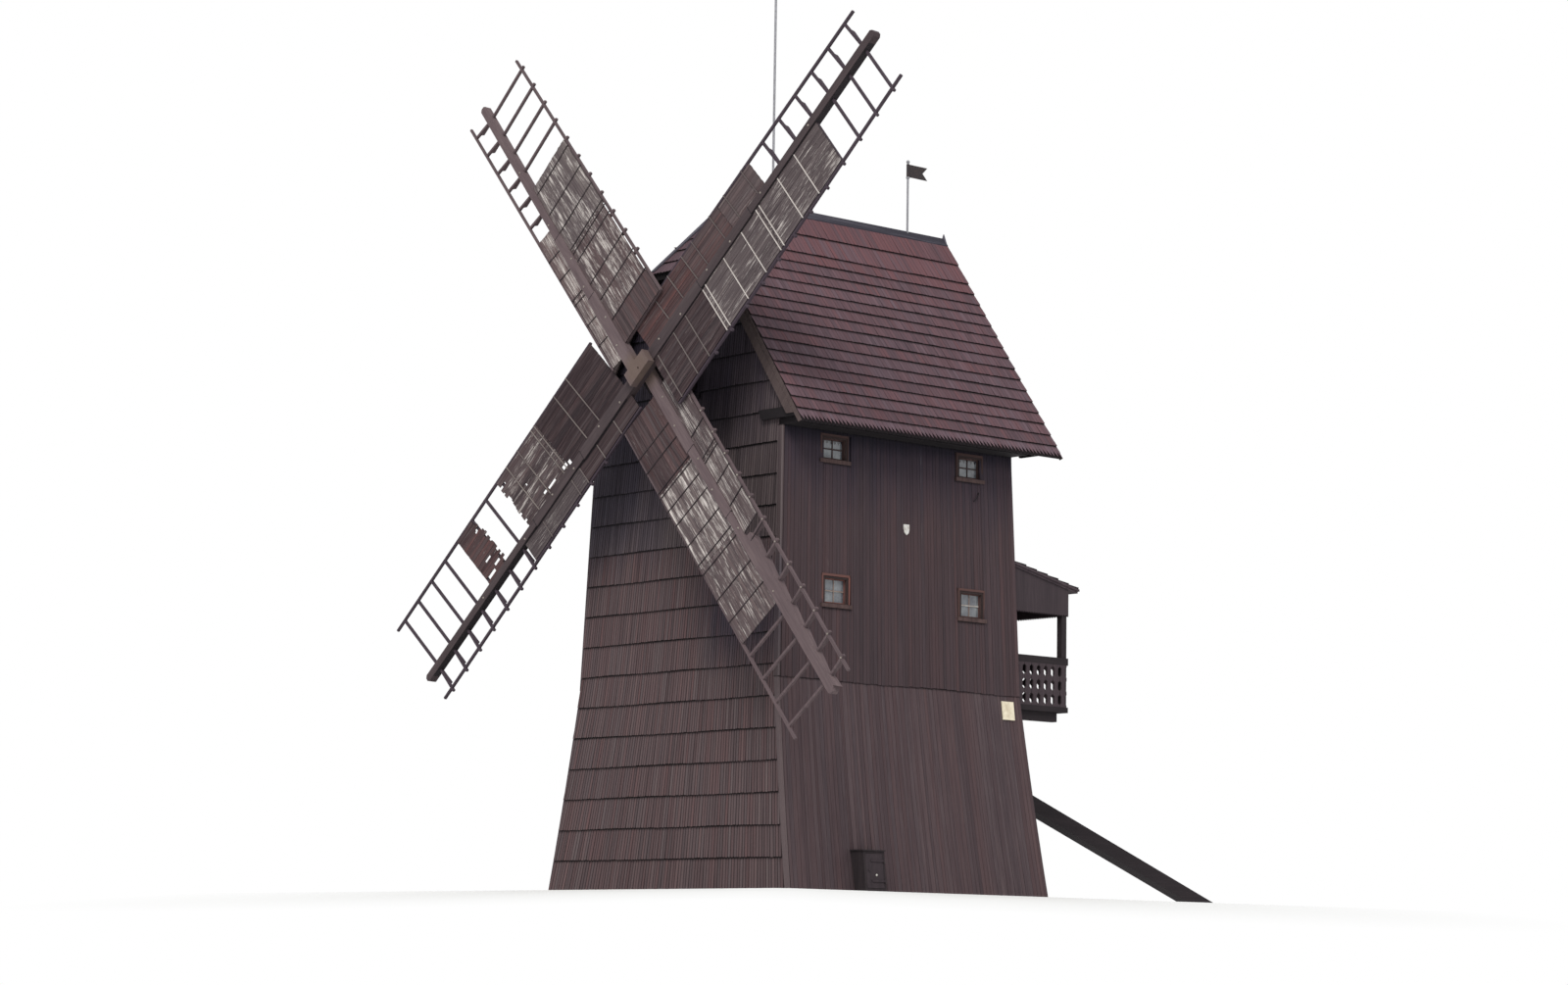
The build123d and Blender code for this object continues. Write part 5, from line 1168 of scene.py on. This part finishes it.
def finishes():
    """Gives every CAD node its finish."""
    up_right = math.radians(SAIL_TURN)
    up_left = math.radians(SAIL_TURN + 90)
    timbers = [
        ("wall_planks", FLANK_WOOD, {"lie": "up", "patches": [*EAVE_SHADES, GABLE_SHADE]},
         "front_skirt_wall rear_skirt_wall left_skirt_wall right_skirt_wall_front right_skirt_wall_middle "
         "right_skirt_wall_rear front_wall rear_wall left_wall right_wall front_gable rear_gable"),
        ("balcony_planks", FLANK_WOOD, {"lie": "up", "tone": 0.35}, "balcony_panels"),
        ("tarred_across", DARK_WOOD, {},
         "lower_floor upper_floor balcony_floor neck_beam tail_beam tail_pole_block"),
        ("window_frames", CASING_WOOD, {"lie": "up", "tone": 0.35}, "left_window_frames right_window_frames"),
        # The eaves plates and the roof slopes' planks are near-black: painted shade under the eaves and
        # between the eave's teeth.
        ("plates", DARK_WOOD, {"lie": "back", "tone": 0.2}, "left_eaves_plate right_eaves_plate"),
        ("tarred_back", DARK_WOOD, {"lie": "back"}, "windshaft balcony_joists balcony_rails tail_pole"),
        ("tarred_posts", DARK_WOOD, {"lie": "up", "tone": 0.6}, "balcony_posts"),
        ("roof_planks", DARK_WOOD, {"turn": ROOF_ANGLE, "tone": 0.2},
         "left_roof_slope right_roof_slope front_half_hip"),
        ("balcony_roof_planks", LEAN_TO_WOOD, {"tone": 0.3}, "balcony_roof"),
        ("ridge_planks", RIDGE_WOOD, {"lie": "back"}, "ridge_cap"),
        ("verge_planks", VERGE_WOOD, {"turn": ROOF_ANGLE, "patches": [VERGE_SHADE]},
         "front_verge_boards rear_verge_boards"),
        ("stock", STOCK_WOOD, {"turn": up_right}, "sail_stock"),
        ("whips", WHIP_WOOD, {"turn": up_left, "patches": [HUB_PATCH], "blend": "MIX"},
         "upper_left_whip lower_right_whip"),
        ("right_lattices", LATH_WOOD, {"turn": up_right},
         "upper_right_lattice lower_left_lattice " + " ".join(arm.name + "_boards" for arm in ARMS)),
        ("left_lattices", WHIP_WOOD, {"turn": up_left, "tone": 0.4},
         "upper_left_lattice lower_right_lattice"),
        ("balusters", FLANK_WOOD, {"lie": "up", "tone": 0.4},
         "balcony_balusters balcony_door_frame balcony_door"),
        ("hatch_planks", FLANK_WOOD, {"lie": "up", "tone": 0.2}, "hatch_door"),
        ("hatch_posts", DARK_WOOD, {"lie": "up", "tone": 0.6}, "hatch_frame"),
    ]
    for name, wood, options, nodes in timbers:
        dress(timber_finish(name, wood, **options), nodes)
    iron = plain_finish("dark_iron", srgb(40, 38, 42), srgb(70, 56, 52), roughness=0.6)
    grey = plain_finish("grey_rods", srgb(150, 150, 155), srgb(112, 110, 112), roughness=0.5)
    dress(iron, "hatch_hinges vane_pennant")
    dress(grey, "vane_pole mast")
    dress(glass_finish(), "left_window_panes right_window_panes")


# Floor, light and camera
FLOOR_FALL = 0.06
FLOOR_REACH = 160.0
FLOOR_CLEAR = 0.6
FLOOR_FADE = (5.0, 15.0)
FLOOR_STEPS = 141
FLOOR_CROWD = 4  # crowding of the steps round the mill
SKY_COLOUR = (0.93, 0.96, 1.0, 1.0)
SKY_STRENGTH = 0.75
SUN_ENERGY = 2.2
SUN_ANGLE = math.radians(25)
SUN_COLOUR = (1.0, 0.97, 0.93)
SUN_TOWARDS = (-0.6, 0.7, -1.0)
CAMERA_PLACE = (51.1636, -42.1609, -1.3494)
CAMERA_YAW = 0.850852
CAMERA_PITCH = 0.131282
CAMERA_ROLL = 0.015593
SENSOR = 36.0
LENS = 82.430


def floor():
    """Level ground that falls away gently in front, where the viewpoint is lower than the mill's foot.

    The height is minus the fall times a distance that starts as a parabola and goes on straight."""
    line = np.linspace(-1, 1, FLOOR_STEPS)
    line = np.sinh(line * FLOOR_CROWD) / math.sinh(FLOOR_CROWD) * FLOOR_REACH
    x, y = np.meshgrid(line, line + MID_Y, indexing="ij")
    beyond = np.maximum(x - FOOT_HALF_W, MID_Y - y - FOOT_HALF_D) - FLOOR_CLEAR
    beyond = np.clip(beyond, 0, None)
    z = -FLOOR_FALL * np.where(beyond < 1, beyond**2 / 2, beyond - 0.5)
    index = np.arange(x.size).reshape(x.shape)
    quads = np.stack([index[:-1, :-1], index[1:, :-1], index[1:, 1:], index[:-1, 1:]], -1).reshape(-1, 4)
    mesh = bpy.data.meshes.new("floor")
    mesh.from_pydata(np.stack([x, y, z], -1).reshape(-1, 3).tolist(), [], quads.tolist())
    mesh.shade_smooth()
    finish = Finish("pale_floor", roughness=0.95, specular=0.1)
    finish.colour(srgb(226, 226, 224))
    middle = {0: finish.object(), 1: (0.0, MID_Y, 0.0)}
    far = finish.node("VectorMath", middle, operation="DISTANCE")["Value"]
    white = finish.node("Emission", {})[0]
    both = {0: finish.spread(far, *FLOOR_FADE), 1: finish.shader.outputs[0], 2: white}
    surface = finish.tree.nodes["Material Output"].inputs["Surface"]
    put(finish.tree, surface, finish.node("MixShader", both)[0])
    mesh.materials.append(finish.material)
    obj = placed("floor", mesh)


def lights():
    """A pale sky, plain white to the camera, in mirrors and through glass, and one broad soft sun from the
    front left, high up."""
    world = bpy.data.worlds.new("sky")
    bpy.context.scene.world = world
    world.use_nodes = True
    tree = world.node_tree
    sky = tree.nodes["Background"]
    sky.inputs["Color"].default_value = SKY_COLOUR
    sky.inputs["Strength"].default_value = SKY_STRENGTH
    plain = wired(tree, "Background", {"Color": (1, 1, 1, 1)})[0]
    rays = wired(tree, "LightPath", {})
    seen = wired(tree, "Math", {0: rays["Is Camera Ray"], 1: rays["Is Glossy Ray"]}, operation="ADD")[0]
    seen = wired(tree, "Math", {0: seen, 1: rays["Is Transmission Ray"]}, operation="ADD", use_clamp=True)[0]
    both = wired(tree, "MixShader", {0: seen, 1: sky.outputs[0], 2: plain})[0]
    put(tree, tree.nodes["World Output"].inputs["Surface"], both)
    lamp = bpy.data.lights.new("sun", "SUN")
    lamp.energy = SUN_ENERGY
    lamp.angle = SUN_ANGLE
    lamp.color = SUN_COLOUR
    placed("sun", lamp).rotation_euler = Vector(SUN_TOWARDS).to_track_quat("-Z", "Y").to_euler()


def camera():
    """The viewpoint, turned by yaw about Z, then pitch, then roll about its own line."""
    data = bpy.data.cameras.new("camera")
    data.sensor_width = SENSOR
    data.lens = LENS
    data.clip_end = 500.0
    obj = placed("camera", data)
    turn = Matrix.Rotation(CAMERA_YAW, 4, "Z") @ Matrix.Rotation(math.pi / 2 + CAMERA_PITCH, 4, "X")
    obj.matrix_world = Matrix.Translation(CAMERA_PLACE) @ turn @ Matrix.Rotation(CAMERA_ROLL, 4, "Z")
    bpy.context.scene.camera = obj


bpy.context.scene.view_settings.view_transform = "Standard"
finishes()
front_slats()
corner_boards()
for side in (1, -1):
    flank_boards(side)
    windows(side)
rear_boards()
for side in (1, -1):
    slope_shingles(side)
hip_shingles()
balcony_shingles()
for arm in ARMS:
    sail_boards(arm)
timber_details()
wall_plate("shield", np.add(SHIELD_PLACE, SHIELD), 0.02, 0.045, white_paint_finish)
wall_plate("plaque", PLAQUE, 0.0, 0.035, cream_paint_finish)
hook()
hatch_knob()
ridge_peak()
floor()
lights()
camera()
